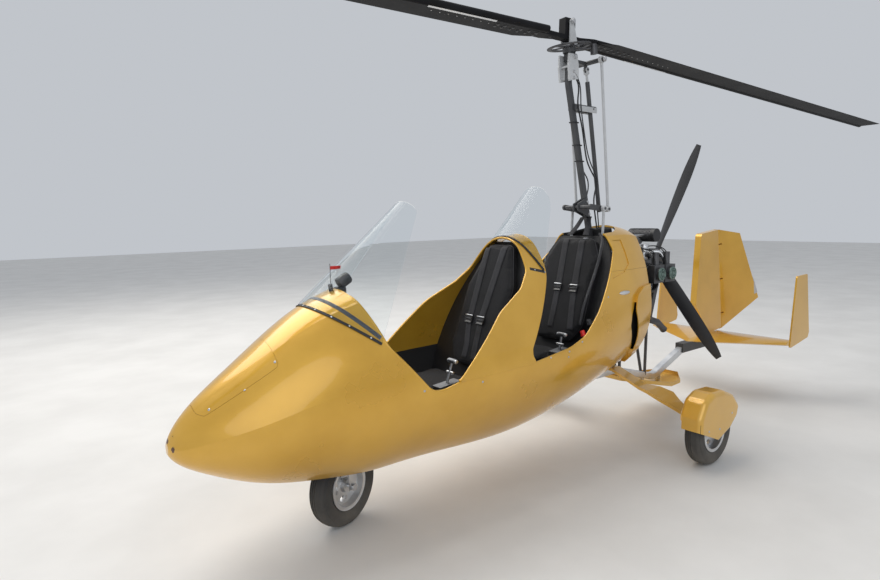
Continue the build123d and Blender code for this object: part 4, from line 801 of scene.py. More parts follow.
def ring_on(trees, middle, ahead, half_angle, count):
    """Points and normals round the outside of the pod, in the plane of y and a direction."""
    found = []
    for index in range(count):
        angle = math.radians(half_angle) * (2 * index / (count - 1) - 1)
        aim = Vector(ahead) * math.cos(angle) + ACROSS * math.sin(angle)
        found.append(meet(trees, Vector(middle) + aim * 1.2, -aim))
    return found


def band_along(found, width, lift, thickness):
    """A flat strip that lies on a surface along points with their normals."""
    rows = []
    for index, (spot, normal) in enumerate(found):
        before, after = found[max(index - 1, 0)][0], found[min(index + 1, len(found) - 1)][0]
        side = normal.cross(after - before).normalized()
        rows.append([spot + normal * lift + side * width * (share - 0.5) for share in (0, 0.5, 1)])
    return add_strip(rows, thickness, thickness * 0.3)


def bent_sheet(found, top_middle, back, top_half, top_depth, rounding):
    """A clear sheet from a line on the pod up to an arc, its top corners rounded off."""
    radius = (top_half ** 2 + top_depth ** 2) / (2 * top_depth)
    swing = math.asin(top_half / radius)
    lines = []
    for index, (spot, normal) in enumerate(found):
        share = 2 * index / (len(found) - 1) - 1
        angle = share * swing
        top = (Vector(top_middle) + Vector(back) * radius * (1 - math.cos(angle))
               + ACROSS * radius * math.sin(angle))
        reach = 1 - rounding * (1 - math.sqrt(max(0.0, 1 - abs(share) ** 3.2)))
        foot = spot + normal * SCREEN_LIFT
        lines.append([foot + (top - foot) * reach * step / SCREEN_ROWS for step in range(SCREEN_ROWS + 1)])
    return add_strip(list(zip(*lines)), SCREEN_SHEET, 0)


def fit_screen(where, ring, seal_width, *shape):
    """A thin clear sheet in place of the plain one, with a black seal over its foot."""
    sheet = bent_sheet(ring, *shape)
    finish_piece(sheet, f"{where}_screen_sheet", CLEAR, smooth=50)
    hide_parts(f"{where}_windshield")
    finish_piece(band_along(ring, seal_width, 0.0055, 0.0035), f"{where}_screen_seal", SEAL)


def is_outer_rim(middle, rim, skin):
    """Whether an edge lies between a cut's wall and the skin that faces away from the pod's middle line."""
    return abs(rim.y) < 0.08 and skin.dot(middle - Vector((middle.x, 0, POD_MIDDLE_Z))) > 0


def rim_line(name, wanted):
    """The outer sharp edges of a node that pass a test, chained: lists of points with the skin's normal."""
    mesh = NODES[name].data
    spots = [tuple(round(c, 5) for c in vertex.co) for vertex in mesh.vertices]
    sides = {}
    for face in mesh.polygons:
        ring = [spots[i] for i in face.vertices]
        for a, b in zip(ring, ring[1:] + ring[:1]):
            if a != b:
                sides.setdefault(tuple(sorted((a, b))), []).append(face.normal.copy())
    skin, links = {}, {}
    for (a, b), normals in sides.items():
        if len(normals) != 2 or normals[0].dot(normals[1]) > 0.7:
            continue
        normals.sort(key=lambda n: abs(n.y))
        middle = (Vector(a) + Vector(b)) / 2
        if not is_outer_rim(middle, *normals) or not wanted(middle, normals[0]):
            continue
        for p, q in ((a, b), (b, a)):
            links.setdefault(p, []).append(q)
            skin[p] = normals[1]
    chains = []
    while links:
        here = next((p for p in links if len(links[p]) == 1), next(iter(links)))
        chain = [here]
        while links.get(here):
            after = links[here].pop()
            links[after].remove(here)
            chain.append(after)
            here = after
        links = {p: q for p, q in links.items() if q}
        chains.append([(Vector(p), skin[p]) for p in chain])
    return [even_steps(chain) for chain in chains if len(chain) > 3]


def even_steps(chain):
    """A chain of points walked in even steps."""
    lengths = [0.0]
    for (a, _), (b, _) in zip(chain, chain[1:]):
        lengths.append(lengths[-1] + (b - a).length)
    count = max(3, int(lengths[-1] / RIM_STEP))
    steps, index = [], 0
    for step in range(count + 1):
        reach = lengths[-1] * step / count
        while index < len(chain) - 2 and lengths[index + 1] < reach:
            index += 1
        span = lengths[index + 1] - lengths[index] or 1
        share = (reach - lengths[index]) / span
        (a, n), (b, m) = chain[index], chain[index + 1]
        steps.append((a.lerp(b, share), n.lerp(m, share).normalized()))
    return steps


def rolled_rim(node, name, wanted):
    """A rounded lip along a node's cut edges."""
    beads = []
    for chain in rim_line(node, wanted):
        if (chain[0][0] - chain[-1][0]).length < 1e-4:
            chain = chain[:-1]
        if len(chain) * RIM_STEP >= SHORTEST_LIP:
            line = [spot - skin * SKIN_WALL / 2 for spot, skin in chain]
            beads.append(add_tube(line, LIP_RADIUS, smooth=False, sides=2))
    finish_piece(beads, name, YELLOW, smooth=60)


POD = surface_of("hull", "nose_hatch")
FAIRING = surface_of("seat_fairing")

# Front screen: its foot lies on the pod in a sloping plane, under a black seal with screws
foot_ring = ring_on(POD, (1.589, 0, 0.923), (0.806, 0, 0.591), 79.5, 49)
fit_screen("front", foot_ring, 0.013, (1.303, 0, 1.597), (-0.794, 0, -0.608), 0.100, 0.050, 0.05)
spots = raised([foot_ring[index] for index in (3, 9, 14, 19, 24, 29, 34, 39, 45)], 0.0052)
finish_piece(copies(add_screw(0.0042), spots), "front_screen_screws", SILVER, smooth=50)
deck_ring = ring_on(POD, (1.56, 0, 0.907), (0.693, 0, 0.721), 71.0, 61)
finish_piece(band_along(deck_ring, 0.020, 0.0015, 0.0020), "deck_band", BAND_GREY)

# Rear screen on the fairing of the front seat, with a clamp plate on each side
CLAMP_LINE = ((0.604, 1.222), (0.57, 1.214), (0.535, 1.206), (0.505, 1.198))
rear_ring = ring_on(FAIRING, (0.483, 0, 1.140), (0.372, 0, 0.928), 74.0, 41)
fit_screen("rear", rear_ring, 0.014, (0.325, 0, 1.690), (-0.565, 0, -0.825), 0.120, 0.060, 0.22)
for side, word in SIDES:
    line = [from_side(FAIRING, x, z, side) for x, z in CLAMP_LINE]
    finish_piece(band_along(line, 0.018, 0.0008, 0.0022), f"rear_screen_clamp_{word}", BLACK_SATIN)
    finish_piece(copies(add_screw(0.0045), raised(line[1::2], 0.0006)), f"rear_clamp_screws_{word}", STEEL)

# Rolled lips of the cockpit openings, of the cowl and of the fairing
rolled_rim("hull", "cockpit_rim_lip",
           lambda p, rim: p.z > 0.69 and -0.16 < p.x < 1.73 and abs(p.z - 1.165) > 0.004)
rolled_rim("engine_cowl", "cowl_rim_lip", lambda p, rim: rim.x > 0.5 and p.x > -0.2)
rolled_rim("seat_fairing", "fairing_lip", lambda p, rim: True)

# Screws along the cockpits' rims and in the nose hatch
RIM_SCREWS = ((0.600, 0.742), (0.445, 0.752), (0.330, 0.790), (0.452, 0.722), (0.05, 1.02), (1.10, 0.70),
              (1.45, 0.72))
HATCH_SCREWS = ((2.331, 0.095), (2.069, 0.160), (2.20, 0.150))
spots = []
for side, _ in SIDES:
    spots += [from_side(POD, x, z, side) for x, z in RIM_SCREWS]
    spots += [meet(POD, (x, side * y, 1.3), -UPRIGHT) for x, y in HATCH_SCREWS]
finish_piece(copies(add_screw(0.006), raised(spots, 0.0003)), "pod_screws", STEEL)

# Oval lamps on the flanks
for side, word in SIDES:
    spot, normal = from_side(POD, -0.122, 1.030, side)
    clear_selection()
    bpy.ops.mesh.primitive_uv_sphere_add(segments=32, ring_count=16, radius=0.0135)
    lamp = bpy.context.object
    lamp.scale = (1.0, 4.3, 0.9)
    bpy.ops.object.transform_apply(location=False, rotation=False, scale=True)
    place(lamp, spot + normal * 0.001, normal, (1, 0, 0))
    finish_piece(lamp, f"flank_lamp_{word}", SILVER, smooth=60)

# Wind vane and compass on the front deck
vane_foot, _ = meet(POD, (1.712, 0, 1.4), (0, 0, -1))
socket = place(add_round(0.011, 0.034, 0.003, 20), vane_foot - UPRIGHT * 0.002, (0.10, 0, 1))
finish_piece(socket, "vane_socket", DARK_COAT)
finish_piece(add_tube([vane_foot, (1.713, 0, 1.306)], 0.0016, smooth=False, sides=2), "vane_pole", DARK_COAT)
flag = add_block((1.655, -0.0008, 1.278), (1.712, 0.0008, 1.294), 0.0003)
work_faces(flag, lambda face: face.normal.x < -0.9, bpy.ops.transform.resize, value=(1, 1, 0.35))
finish_piece(flag, "vane_flag", RED_COAT)
compass, compass_aft = Vector((1.672, 0, 1.205)), Vector((-0.87, 0, 0.49))
body = place(add_round(0.030, 0.062, 0.006, 40), compass, compass_aft)
base = add_block((1.640, -0.022, 1.150), (1.690, 0.022, 1.192), 0.006)
finish_piece([body, base], "compass_body", DARK_COAT, smooth=40)
glass = place(add_round(0.026, 0.004, 0.0015, 40), compass + compass_aft * 0.0615, compass_aft)
finish_piece(glass, "compass_face", BAND_GREY, smooth=40)

# Black ducts behind the air scoops, kept inside the hull's own skin
for side, word in SIDES:
    rows = []
    for step in range(14):
        z = 0.52 + 0.55 * step / 13
        edge, _ = from_side(POD, -0.165, z, side)
        row = []
        for x in (-0.15, -0.20, -0.25, -0.30, -0.35, -0.40, -0.445):
            skin, _ = from_side(POD, x, z, side, needed=False)
            deep = abs(edge.y) - 0.035 - 0.12 * (-0.165 - x)
            row.append(Vector((x, side * min(deep, abs(skin.y) - 0.034 if skin else deep), z)))
        rows.append(row)
    finish_piece(add_strip(rows, 0.003, 0), f"scoop_duct_{word}", LINER, smooth=60)


# Cockpits: roll beside the rear seat, lever handles, stick grips, knobs, dials, and the black well round
# the mast

ROLL = ((-0.130, 0.150, 1.392), (-0.090, 0.205, 1.362), (-0.040, 0.232, 1.318), (-0.010, 0.241, 1.250),
        (0.030, 0.241, 1.160), (0.072, 0.243, 1.087), (0.130, 0.241, 0.975), (0.150, 0.239, 0.915),
        (0.165, 0.239, 0.850))
GRIP = ((0.0, -0.060), (0.0165, -0.060), (0.0195, -0.052), (0.0175, -0.040), (0.0195, -0.025),
        (0.0180, -0.010), (0.0200, 0.008), (0.0185, 0.024), (0.0205, 0.038), (0.0170, 0.046), (0.0, 0.048))
DIALS = ((-0.095, 1.075, 0.033), (0.0, 1.095, 0.036), (0.095, 1.075, 0.033), (-0.055, 0.995, 0.024),
         (0.055, 0.995, 0.024))
finish_piece(add_tube(ROLL, 0.0095, sides=3), "rear_seat_roll", PIPING, smooth=60)
handles = []
for x, z in ((1.195, 0.800), (0.370, 0.822)):
    for part, spot in ((add_round(0.0105, 0.066, 0.003, 24), (x, 0.237, z)),
                       (add_round(0.0075, 0.050, 0.002, 20), (x + 0.016, 0.245, z - 0.055)),
                       (add_bolt(0.008, 0.006), (x + 0.02, 0.3005, z - 0.13))):
        handles.append(place(part, spot, ACROSS, (1, 0, 0)))
finish_piece(handles, "lever_handles", SILVER, smooth=40)
STICK_TOPS = ((1.442, 0, 0.850), (0.604, 0, 0.860))
grips = copies(add_ring_solid(GRIP, 28), [(top, (-0.10, 0, 1)) for top in STICK_TOPS])
finish_piece(grips, "stick_grips", SEAL, smooth=50)
for x, z, name, finish in ((0.275, 0.862, "red_knob", RED_COAT), (0.211, 0.890, "black_knob", SEAL)):
    wall = None
    while wall is None:
        wall, _ = meet(POD, (x, 0.25, z), (0, 1, 0), needed=False)
        z -= 0.005
    parts = [place(piece, wall + Vector(shift), (0, -0.5, 1), (1, 0, 0)) for piece, shift in (
        (add_round(0.018, 0.012, 0.003, 28), (0, -0.016, -0.012)),
        (add_round(0.014, 0.034, 0.005, 28), (0, -0.018, -0.010)))]
    finish_piece(parts, name, finish, smooth=40)
panel = surface_of("instrument_panel")
bezels, faces, hands = [], [], []
for y, z, radius in DIALS:
    spot, _ = meet(panel, (1.30, y, z), (1, 0, 0))
    bezel = add_ring_solid([(radius - 0.005, 0.0), (radius, 0.0), (radius, 0.006), (radius - 0.002, 0.0075),
                            (radius - 0.005, 0.004)], 36)
    bezels.append(place(bezel, spot, (-1, 0, 0)))
    faces.append(place(add_round(radius - 0.004, 0.002, 0.0005, 36), spot, (-1, 0, 0)))
    hand = add_block((-0.0012, -0.004, 0.002), (0.0012, radius * 0.7, 0.0034), 0.0003)
    hands.append(place(hand, spot, (-1, 0, 0), (0, 0.5, 1)))
for parts, name, finish in ((bezels, "dial_bezels", BLACK_SATIN), (faces, "dial_faces", BAND_GREY),
                            (hands, "dial_hands", GREY_COAT)):
    finish_piece(parts, name, finish, smooth=40)
well = add_block((-0.430, -0.225, 1.236), (-0.150, 0.225, 1.242), 0.001)
cover_box = add_block((-0.345, -0.050, 1.240), (-0.243, 0.095, 1.428), 0.018, 4)
work_faces(cover_box, lambda face: face.normal.z > 0.9, bpy.ops.transform.resize, value=(0.75, 0.8, 1))
finish_piece([well, cover_box], "mast_well", LINER, smooth=45)


# Wheels and gear: grooved tyres, bolts and bright edges on the rims, axle nuts, gear bolts, tray brackets

def tyre_outline():
    """A tyre's outline with its tread grooves: half of it, then the same mirrored."""
    half = [(0.1085, 0.0375), (0.1195, 0.0382), (0.128, 0.0455), (0.142, 0.0505), (0.155, 0.0518),
            (0.168, 0.0505), (0.1745, 0.0490), (0.1755, 0.0500), (0.1785, 0.0490), (0.1795, 0.0465),
            (0.187, 0.0440), (0.1925, 0.0405), (0.1965, 0.0350)]
    for groove in (0.029, 0.0145, 0.0):
        level = 0.2038 - (groove / 0.05) ** 2 * 0.014
        half += [(level, groove + 0.0022), (level - 0.0038, groove + 0.0012)]
    return [(0.1085, 0.0)] + half + [(radius, -width) for radius, width in reversed(half)]


RIM_EDGE = ((0.1165, 0.0440), (0.1195, 0.0452), (0.1205, 0.0430), (0.118, 0.0415))
JOINTS = {joint["name"]: joint for joint in frame["joints"]}
tyre_model = add_ring_solid(tyre_outline())
for body, node in (("wheel_left", "main_left"), ("wheel_right", "main_right"), ("nose_wheel", "nose")):
    centre, axle = (Vector(JOINTS[f"{body}_spin"][key]) for key in ("pos_m", "axis"))
    tyre = tyre_model.copy()
    tyre.data = tyre_model.data.copy()
    scene.collection.objects.link(tyre)
    finish_piece(place(tyre, centre, axle), f"{node}_ribbed_tyre", RUBBER, body, 30)
    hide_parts(f"{node}_tyre")
    across = axle.cross(UPRIGHT).normalized()
    web = surface_of(f"{node}_rim")
    spots = []
    for index in range(5):
        angle = math.radians(126 + 72 * index)
        reach = across * math.cos(angle) + UPRIGHT * math.sin(angle)
        for face in (1, -1):
            spot, _ = meet(web, centre + reach * 0.066 + axle * face * 0.2, axle * -face)
            spots.append((spot, axle * face))
    bolt_set(f"{node}_rim_bolts", 0.0075, 0.007, spots, body)
    edges = [place(add_ring_solid([(radius, face * width) for radius, width in RIM_EDGE], 64), centre, axle)
             for face in (1, -1)]
    finish_piece(edges, f"{node}_rim_edges", SILVER, body, 40)
    if node == "nose":
        bolt_set("nose_axle_nuts", 0.0135, 0.004, [(centre + axle * f * 0.0762, axle * f) for f in (1, -1)],
                 "nose_steering")
bpy.data.objects.remove(tyre_model)
gear_spots, clamp_spots = [], []
for side, _ in SIDES:
    for x, z in ((-0.375, 0.232), (-0.25, 0.245), (-0.52, 0.300)):
        spot, normal = from_side(surface_of("wheel_fairings"), x, z, side, 1.2)
        gear_spots.append((spot - normal * 0.0035, normal))
    for x, z in ((-0.44, 0.196), (-0.365, 0.198), (-0.366, 0.240)):
        spot, _ = meet(surface_of("main_axles"), (x, side * 0.3, z), (0, side, 0))
        gear_spots.append((spot, ACROSS * -side))
    for y in (0.06, 0.10):
        spot, _ = meet(surface_of("gear_bow"), (-0.42, side * y, 0.20), UPRIGHT)
        clamp_spots.append((spot, -UPRIGHT))
bolt_set("gear_bolts", 0.0075, 0.005, gear_spots)
bolt_set("bow_clamp_bolts", 0.011, 0.008, clamp_spots)
brackets = []
for x in (-0.64, -0.86, -1.08):
    under, _ = meet(surface_of("keel"), (x, 0, 0.05), UPRIGHT)
    floor_spot, _ = meet(surface_of("belly_tray"), under, -UPRIGHT, needed=False)
    if floor_spot:
        brackets.append(add_block((x - 0.012, -0.018, floor_spot.z - 0.001),
                                  (x + 0.012, 0.018, under.z + 0.003)))
finish_piece(brackets, "tray_brackets", SILVER)


# Engine: ribbed covers, plug caps and leads, ignition boxes, carburettors, pipes, hoses, filter, bolts;
# the propeller's plate

CYLINDERS = ((-0.596, 1, 0.03), (-0.728, 1, 0.045), (-0.566, -1, 0.03), (-0.698, -1, 0.045))
COVER_OUTLINE = ((0.0, 0.0), (0.044, 0.0), (0.044, 0.006), (0.038, 0.009), (0.036, 0.006), (0.030, 0.006),
                 (0.028, 0.0095), (0.022, 0.0095), (0.020, 0.006), (0.014, 0.006), (0.012, 0.010),
                 (0.0, 0.011))
covers, plugs, leads, intakes, bowls = [], [], [], [], []
for x, side, rise in CYLINDERS:
    face = Vector((x, side * 0.3075, 1.108))
    covers.append(place(add_ring_solid(COVER_OUTLINE, 40), face, (0, side, 0)))
    for index in range(6):
        rib = add_block((0.013, -0.002, 0.004), (0.037, 0.002, 0.0105), 0.001)
        turn = Matrix.Rotation(math.radians(60 * index + 30), 4, "Z")
        rib.matrix_world = Matrix.Translation(face) @ facing((0, side, 0)) @ turn
        covers.append(rib)
    for shift, end_x in ((0.018, -0.50), (-0.018, -0.52)):
        foot = Vector((x + shift, side * 0.266, 1.166))
        plugs.append(add_tube([foot, foot + UPRIGHT * 0.030], 0.0075, smooth=False, sides=3))
        foot += UPRIGHT * 0.028
        bend = foot + Vector((0.01, 0, 0.03 + rise))
        leads.append(add_tube([foot, bend, (x + 0.05, side * 0.17, 1.26 + rise), (end_x, side * 0.09, 1.245),
                               (end_x, side * 0.05, 1.215)], 0.0038, sides=2))
    intakes.append(add_tube([(-0.640, side * 0.155, 1.225), ((x - 0.640) / 2, side * 0.195, 1.262),
                             (x, side * 0.240, 1.236), (x, side * 0.252, 1.160)], 0.0145))
for side, _ in SIDES:
    for radius, depth, edge, z in ((0.024, 0.060, 0.005, 1.196), (0.030, 0.050, 0.006, 1.252),
                                   (0.033, 0.006, 0.002, 1.300)):
        bowls.append(place(add_round(radius, depth, edge, 28), (-0.640, side * 0.140, z)))
finish_piece(covers, "cylinder_covers", COVER_GREEN)
finish_piece(plugs, "plug_caps", SEAL, smooth=40)
finish_piece(leads, "plug_leads", SEAL, smooth=50)
finish_piece(intakes, "intake_pipes", SILVER, smooth=60)
finish_piece(bowls, "carburettors", SILVER, smooth=40)
ignition = [add_block((-0.58, -0.075, 1.188), (-0.46, 0.075, 1.235), 0.006),
            add_block((-0.565, -0.060, 1.233), (-0.475, 0.060, 1.250), 0.004)]
finish_piece(ignition, "ignition_boxes", BLACK_SATIN)
HOSES = ((0.011, ((-0.44, 0.20, 1.10), (-0.48, 0.245, 1.03), (-0.56, 0.235, 0.985), (-0.66, 0.225, 0.985),
                  (-0.72, 0.20, 1.02))),
         (0.009, ((-0.43, 0.13, 1.30), (-0.50, 0.14, 1.305), (-0.57, 0.115, 1.29), (-0.60, 0.11, 1.27))),
         (0.011, ((-0.43, -0.20, 1.12), (-0.48, -0.245, 1.05), (-0.56, -0.235, 0.99), (-0.66, -0.225, 0.985),
                  (-0.70, -0.19, 1.02))))
finish_piece([add_tube(line, radius, sides=3) for radius, line in HOSES], "engine_hoses", SEAL, smooth=60)
pleats = [(0.0, 0.0), (0.0475, 0.0), (0.0475, 0.008)]
for index in range(16):
    height = 0.014 + 0.011 * index
    pleats += [(0.0445, height), (0.0485, height + 0.0055)]
pleats += [(0.0475, 0.202), (0.0475, 0.2105), (0.0, 0.2105)]
finish_piece(place(add_ring_solid(pleats, 40), (-0.780, -0.0603, 1.364), ACROSS), "pleated_filter", SEAL,
             smooth=30)
stay = add_tube([(-0.10, 0.05, 1.360), (-0.45, 0.07, 1.362), (-0.735, 0.075, 1.364)], 0.008,
                smooth=False, sides=3)
finish_piece(stay, "filter_stay", SILVER, smooth=40)
angles = [math.radians(45 + 30 * index) for index in range(12)]
spots = [(Vector((-0.925, 0.055 * math.cos(angle), 1.146 + 0.088 * math.sin(angle))), (-1, 0, 0))
         for angle in angles if abs(math.sin(angle)) > 0.3]
spots += [((x, side * 0.105, z), (0, side, 0)) for side, _ in SIDES for x in (-0.80, -0.66, -0.46)
          for z in (0.985, 1.03)]
bolt_set("engine_bolts", 0.0065, 0.006, spots)
hub = Vector((-1.0245, 0, 1.188))
plate = place(add_round(0.052, 0.007, 0.0015, 40), hub + Vector((0.0005, 0, 0)), (-1, 0, 0))
finish_piece(plate, "propeller_plate", SILVER, "propeller", 40)
angles = [math.radians(60 * index) for index in range(6)]
spots = [(hub + Vector((-0.0062, 0.036 * math.cos(angle), 0.036 * math.sin(angle))), (-1, 0, 0))
         for angle in angles]
bolt_set("propeller_bolts", 0.0065, 0.006, spots, "propeller")
pipe_way = Vector((-0.089, 0, -0.066)).normalized()
ring = add_ring_solid([(0.0205, 0), (0.0255, 0), (0.0262, -0.004), (0.0255, -0.008), (0.0205, -0.008)], 28)
spots = [(Vector((-0.901, side * 0.150, 0.669)) + pipe_way * 0.0005, pipe_way) for side, _ in SIDES]
finish_piece(copies(ring, spots), "exhaust_rings", CAST, smooth=40)


# Mast: control cables with their ties, the trim bracket's plates, belts from the rear seat, and bolts

CABLE = ((0.007, 2.39), (-0.042, 2.351), (-0.052, 2.299), (-0.043, 2.252), (-0.042, 2.205), (-0.067, 2.13),
         (-0.093, 2.055), (-0.120, 1.923), (-0.142, 1.853), (-0.19, 1.791), (-0.23, 1.751), (-0.238, 1.694),
         (-0.219, 1.645), (-0.215, 1.587), (-0.235, 1.50), (-0.262, 1.38))
MAST_TOP_Z = 2.335


def mast_middle(z):
    """Where the mast's middle line is at a height."""
    return -0.441 + (z - 0.445) * 0.451 / 1.890


cables = [add_tube([(x + shift + wave * math.sin(index * 1.3), y, z) for index, (x, z) in enumerate(CABLE)],
                   radius, sides=2)
          for shift, wave, y, radius in ((-0.004, 0, 0.030, 0.0048), (-0.012, 0.010, 0.041, 0.0038),
                                         (-0.002, 0, -0.030, 0.0042))]
finish_piece(cables, "mast_cables", SEAL, smooth=60)
ties = []
for z in (2.10, 1.96, 1.86, 1.50, 1.42):
    x = mast_middle(z)
    ties.append(add_block((x - 0.030, -0.0175, z - 0.004), (x + 0.028, 0.0175, z + 0.004), 0.001))
finish_piece(ties, "cable_ties", SEAL)
cheeks = [add_block((-0.238, side * 0.0285, 2.170), (-0.060, side * 0.0315, 2.205), 0.0012)
          for side, _ in SIDES]
finish_piece(cheeks, "trim_bracket_plates", GREY_COAT)
belts = []
for y, y_top in ((-0.068, -0.026), (0.064, 0.026)):
    low, high = Vector((-0.098, y, 1.385)), Vector((-0.180, y_top, 1.500))
    rows = []
    for share in [index / 10 for index in range(11)]:
        middle = low.lerp(high, share) - UPRIGHT * 0.010 * math.sin(math.pi * share)
        width = 0.046 - 0.010 * share
        rows.append([middle + ACROSS * width * (index / 2 - 0.5) for index in range(3)])
    belts.append(add_strip(rows, 0.0018))
finish_piece(belts, "rear_belts_to_mast", WEBBING, smooth=50)
spots = [from_side(surface_of("mast", "mast_head"), mast_middle(z) if z < MAST_TOP_Z else 0.010, z, side, 0.3)
         for side, _ in SIDES for z in (2.36, 2.40, 1.60, 1.52)]
bolt_set("mast_bolts", 0.0075, 0.006, spots)


# Rotor: head bolts, teeter bolt, hub bolts, blade root rivets, silver edge strips, ring gear teeth

SHAFT = Vector((math.sin(math.radians(7.0)), 0, math.cos(math.radians(7.0))))
TILT_POINT = Vector((0, 0, 2.490))
TEETER_POINT = TILT_POINT + SHAFT * 0.205
YAW, RISE = math.radians(-4.8), math.radians(1.85)
SPAN = Vector((1, math.tan(YAW), math.tan(RISE))).normalized()
TEETER = SHAFT.cross(SPAN).normalized()
OVER = SPAN.cross(TEETER)


def on_blade(trees, end, reach, over, face):
    """Where the rotor is met from above (face 1) or below, at a place along and across a blade."""
    start = TEETER_POINT + SPAN * end * reach + TEETER * end * over + OVER * (face * 0.3 - 0.09)
    return meet(trees, start, OVER * -face)


bolt_set("teeter_bolt_ends", 0.013, 0.009,
         [(TEETER_POINT + TEETER * side * 0.0522, TEETER * side) for side, _ in SIDES], "rotor_hub")
roots = surface_of("hub_bar", "rotor_blade_front", "rotor_blade_rear")
bolt_spots, rivet_spots, strips = [], [], []
for end, node in ((1, "rotor_blade_front"), (-1, "rotor_blade_rear")):
    skin = surface_of(node)
    for face in (1, -1):
        for reach in (0.14, 0.25, 0.31, 0.37, 0.43, 0.49, 0.54):
            for over in ((0.0, -0.035) if reach > 0.2 else (0.0,)):
                bolt_spots.append((on_blade(roots, end, reach, over, face)[0], OVER * face))
        rivet_spots += [on_blade(roots, end, 0.60 + 0.055 * index, -0.012, face) for index in range(8)]
        rows = [[on_blade(skin, end, 0.60 + 0.030 * index, over, face)[0] + OVER * face * 0.0012
                 for over in (0.052, 0.060, 0.068)] for index in range(16)]
        strips.append(add_strip(rows, 0.0008, 0))
bolt_set("hub_bolts", 0.0075, 0.005, bolt_spots, "rotor", CAST)
finish_piece(copies(add_screw(0.0035), rivet_spots), "blade_root_rivets", STEEL, "rotor", 40)
finish_piece(strips, "blade_edge_strips", SILVER, "rotor", 60)
bolt_set("tilt_bolt_ends", 0.0105, 0.006, [((0, side * 0.0500, 2.490), (0, side, 0)) for side, _ in SIDES])
bolt_set("tilt_bar_nuts", 0.013, 0.010, [((-0.150, side * 0.1522, 2.474), (0, side, 0)) for side, _ in SIDES],
         "rotor_head")
TOOTH_COUNT = 90
hub_fore = TEETER.cross(SHAFT)
teeth = [add_block((0.1300, -0.0022, 0.0008), (0.1352, 0.0022, 0.0072), 0.0005, 1)]
teeth += copies(teeth[0].copy(), [((0, 0, 0), (0, 0, 1))] * (TOOTH_COUNT - 1))
for index, tooth in enumerate(teeth):
    angle = 2 * math.pi * index / TOOTH_COUNT
    out = hub_fore * math.cos(angle) + TEETER * math.sin(angle)
    turn = Matrix((out, SHAFT.cross(out), SHAFT)).transposed().to_4x4()
    tooth.matrix_world = Matrix.Translation(TILT_POINT + SHAFT * 0.0622) @ turn
finish_piece(teeth, "ring_gear_teeth", CAST, "rotor_hub", 30)


# Tail: the trim tab on the rudder's trailing edge

HINGE_LOW, HINGE_TOP = Vector((-2.041, 0, 0.528)), Vector((-1.922, 0, 1.378))
PARKED_TURN = math.radians(-21)
HINGE = (HINGE_TOP - HINGE_LOW).normalized()
AFT = Matrix.Rotation(PARKED_TURN, 3, HINGE) @ Vector((-HINGE.z, 0, HINGE.x))
DOWN_EDGE = (AFT * 0.193 - HINGE * 0.605).normalized()
flat = AFT.cross(HINGE)
tab_frame = Matrix((DOWN_EDGE, flat.cross(DOWN_EDGE), flat)).transposed().to_4x4()
tab_parts = [add_block((0, -0.032, -0.0080), (0.155, 0.002, 0.0080), 0.0015),
             add_block((0, -0.004, -0.0014), (0.155, 0.012, 0.0014), 0.0005)]
for part in tab_parts:
    part.matrix_world = Matrix.Translation(HINGE_LOW + AFT * 0.3535 + HINGE * 0.378) @ tab_frame
finish_piece(tab_parts, "rudder_tab", GREY_COAT, "rudder", 30)


# Floor, light and camera

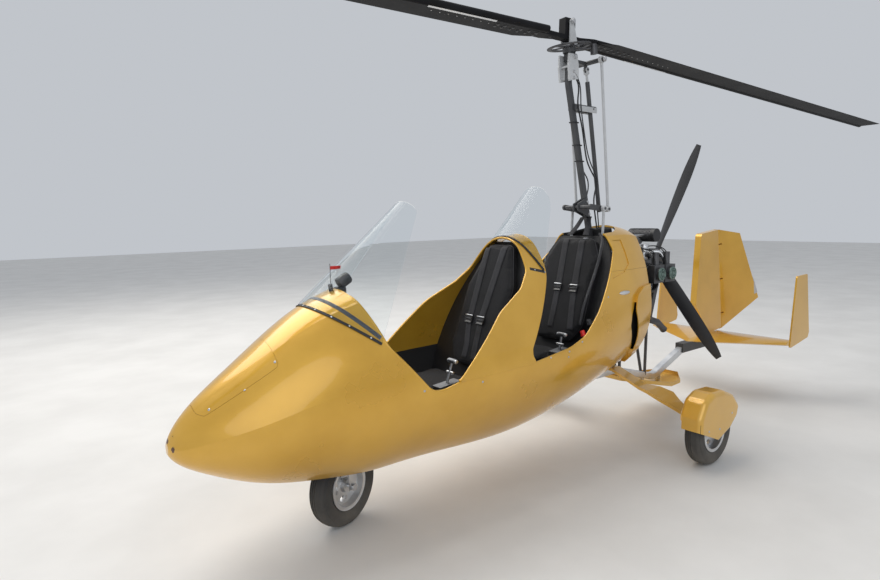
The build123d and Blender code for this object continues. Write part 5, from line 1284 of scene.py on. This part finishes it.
def make_stage():
    """A plain pale floor."""
    bpy.ops.object.select_all(action="DESELECT")
    bpy.ops.mesh.primitive_plane_add(size=60)
    floor = bpy.context.object
    floor.name = "studio_floor"
    made, tree, shader = new_finish("pale_floor", (0.72, 0.71, 0.69), Roughness=0.85)
    grain = place_group(tree, GRAIN, Scale=40.0, Mottle=1.5)
    tint(tree, shader, grain.outputs["Mottle"], (0.69, 0.68, 0.66), (0.75, 0.74, 0.72))
    floor.data.materials.append(made)
    floor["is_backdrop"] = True


def add_area(name, place, target, size, power, colour):
    """A soft area light that points at a target."""
    light = bpy.data.lights.new(name, "AREA")
    light.shape = "DISK"
    light.size, light.energy, light.color = size, power, colour
    lamp = bpy.data.objects.new(name, light)
    lamp.location = place
    lamp.rotation_mode = "QUATERNION"
    lamp.rotation_quaternion = (Vector(target) - Vector(place)).to_track_quat("-Z", "Y")
    scene.collection.objects.link(lamp)


CAMERA_PLACE = (2.9951, 2.5037, 1.5094)
CAMERA_YAW, CAMERA_PITCH, CAMERA_ROLL = 4.0538, -0.1216, -0.0180
CAMERA_LENS = 23.987


def make_camera():
    """The camera where the photographer stood."""
    level = math.cos(CAMERA_PITCH)
    forward = Vector((level * math.cos(CAMERA_YAW), level * math.sin(CAMERA_YAW), math.sin(CAMERA_PITCH)))
    right = Vector((math.sin(CAMERA_YAW), -math.cos(CAMERA_YAW), 0))
    up = right.cross(forward)
    turned = right * math.cos(CAMERA_ROLL) + up * math.sin(CAMERA_ROLL)
    upright = up * math.cos(CAMERA_ROLL) - right * math.sin(CAMERA_ROLL)
    lens = bpy.data.cameras.new("photo_camera")
    lens.sensor_width, lens.lens, lens.clip_start, lens.clip_end = 36.0, CAMERA_LENS, 0.05, 200
    camera = bpy.data.objects.new("photo_camera", lens)
    turn = Matrix((turned, upright, -forward)).transposed()
    camera.matrix_world = Matrix.Translation(CAMERA_PLACE) @ turn.to_4x4()
    scene.collection.objects.link(camera)
    scene.camera = camera


def make_light():
    """Soft light from the sky, from above and from the camera's side."""
    world = bpy.data.worlds.new("studio_air")
    world.use_nodes = True
    sky = world.node_tree.nodes["Background"].inputs
    sky["Color"].default_value = (0.86, 0.90, 0.96, 1.0)
    sky["Strength"].default_value = 0.62
    scene.world = world
    add_area("key_light", (1.5, -4.0, 8.0), (0.3, 0.0, 0.8), 9.0, 620, (1.0, 0.96, 0.90))
    add_area("fill_light", (5.5, 7.0, 4.5), (0.0, 0.0, 0.9), 8.0, 170, (0.95, 0.97, 1.0))


make_stage()
make_camera()
make_light()
scene.view_settings.view_transform = "Standard"

low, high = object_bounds()
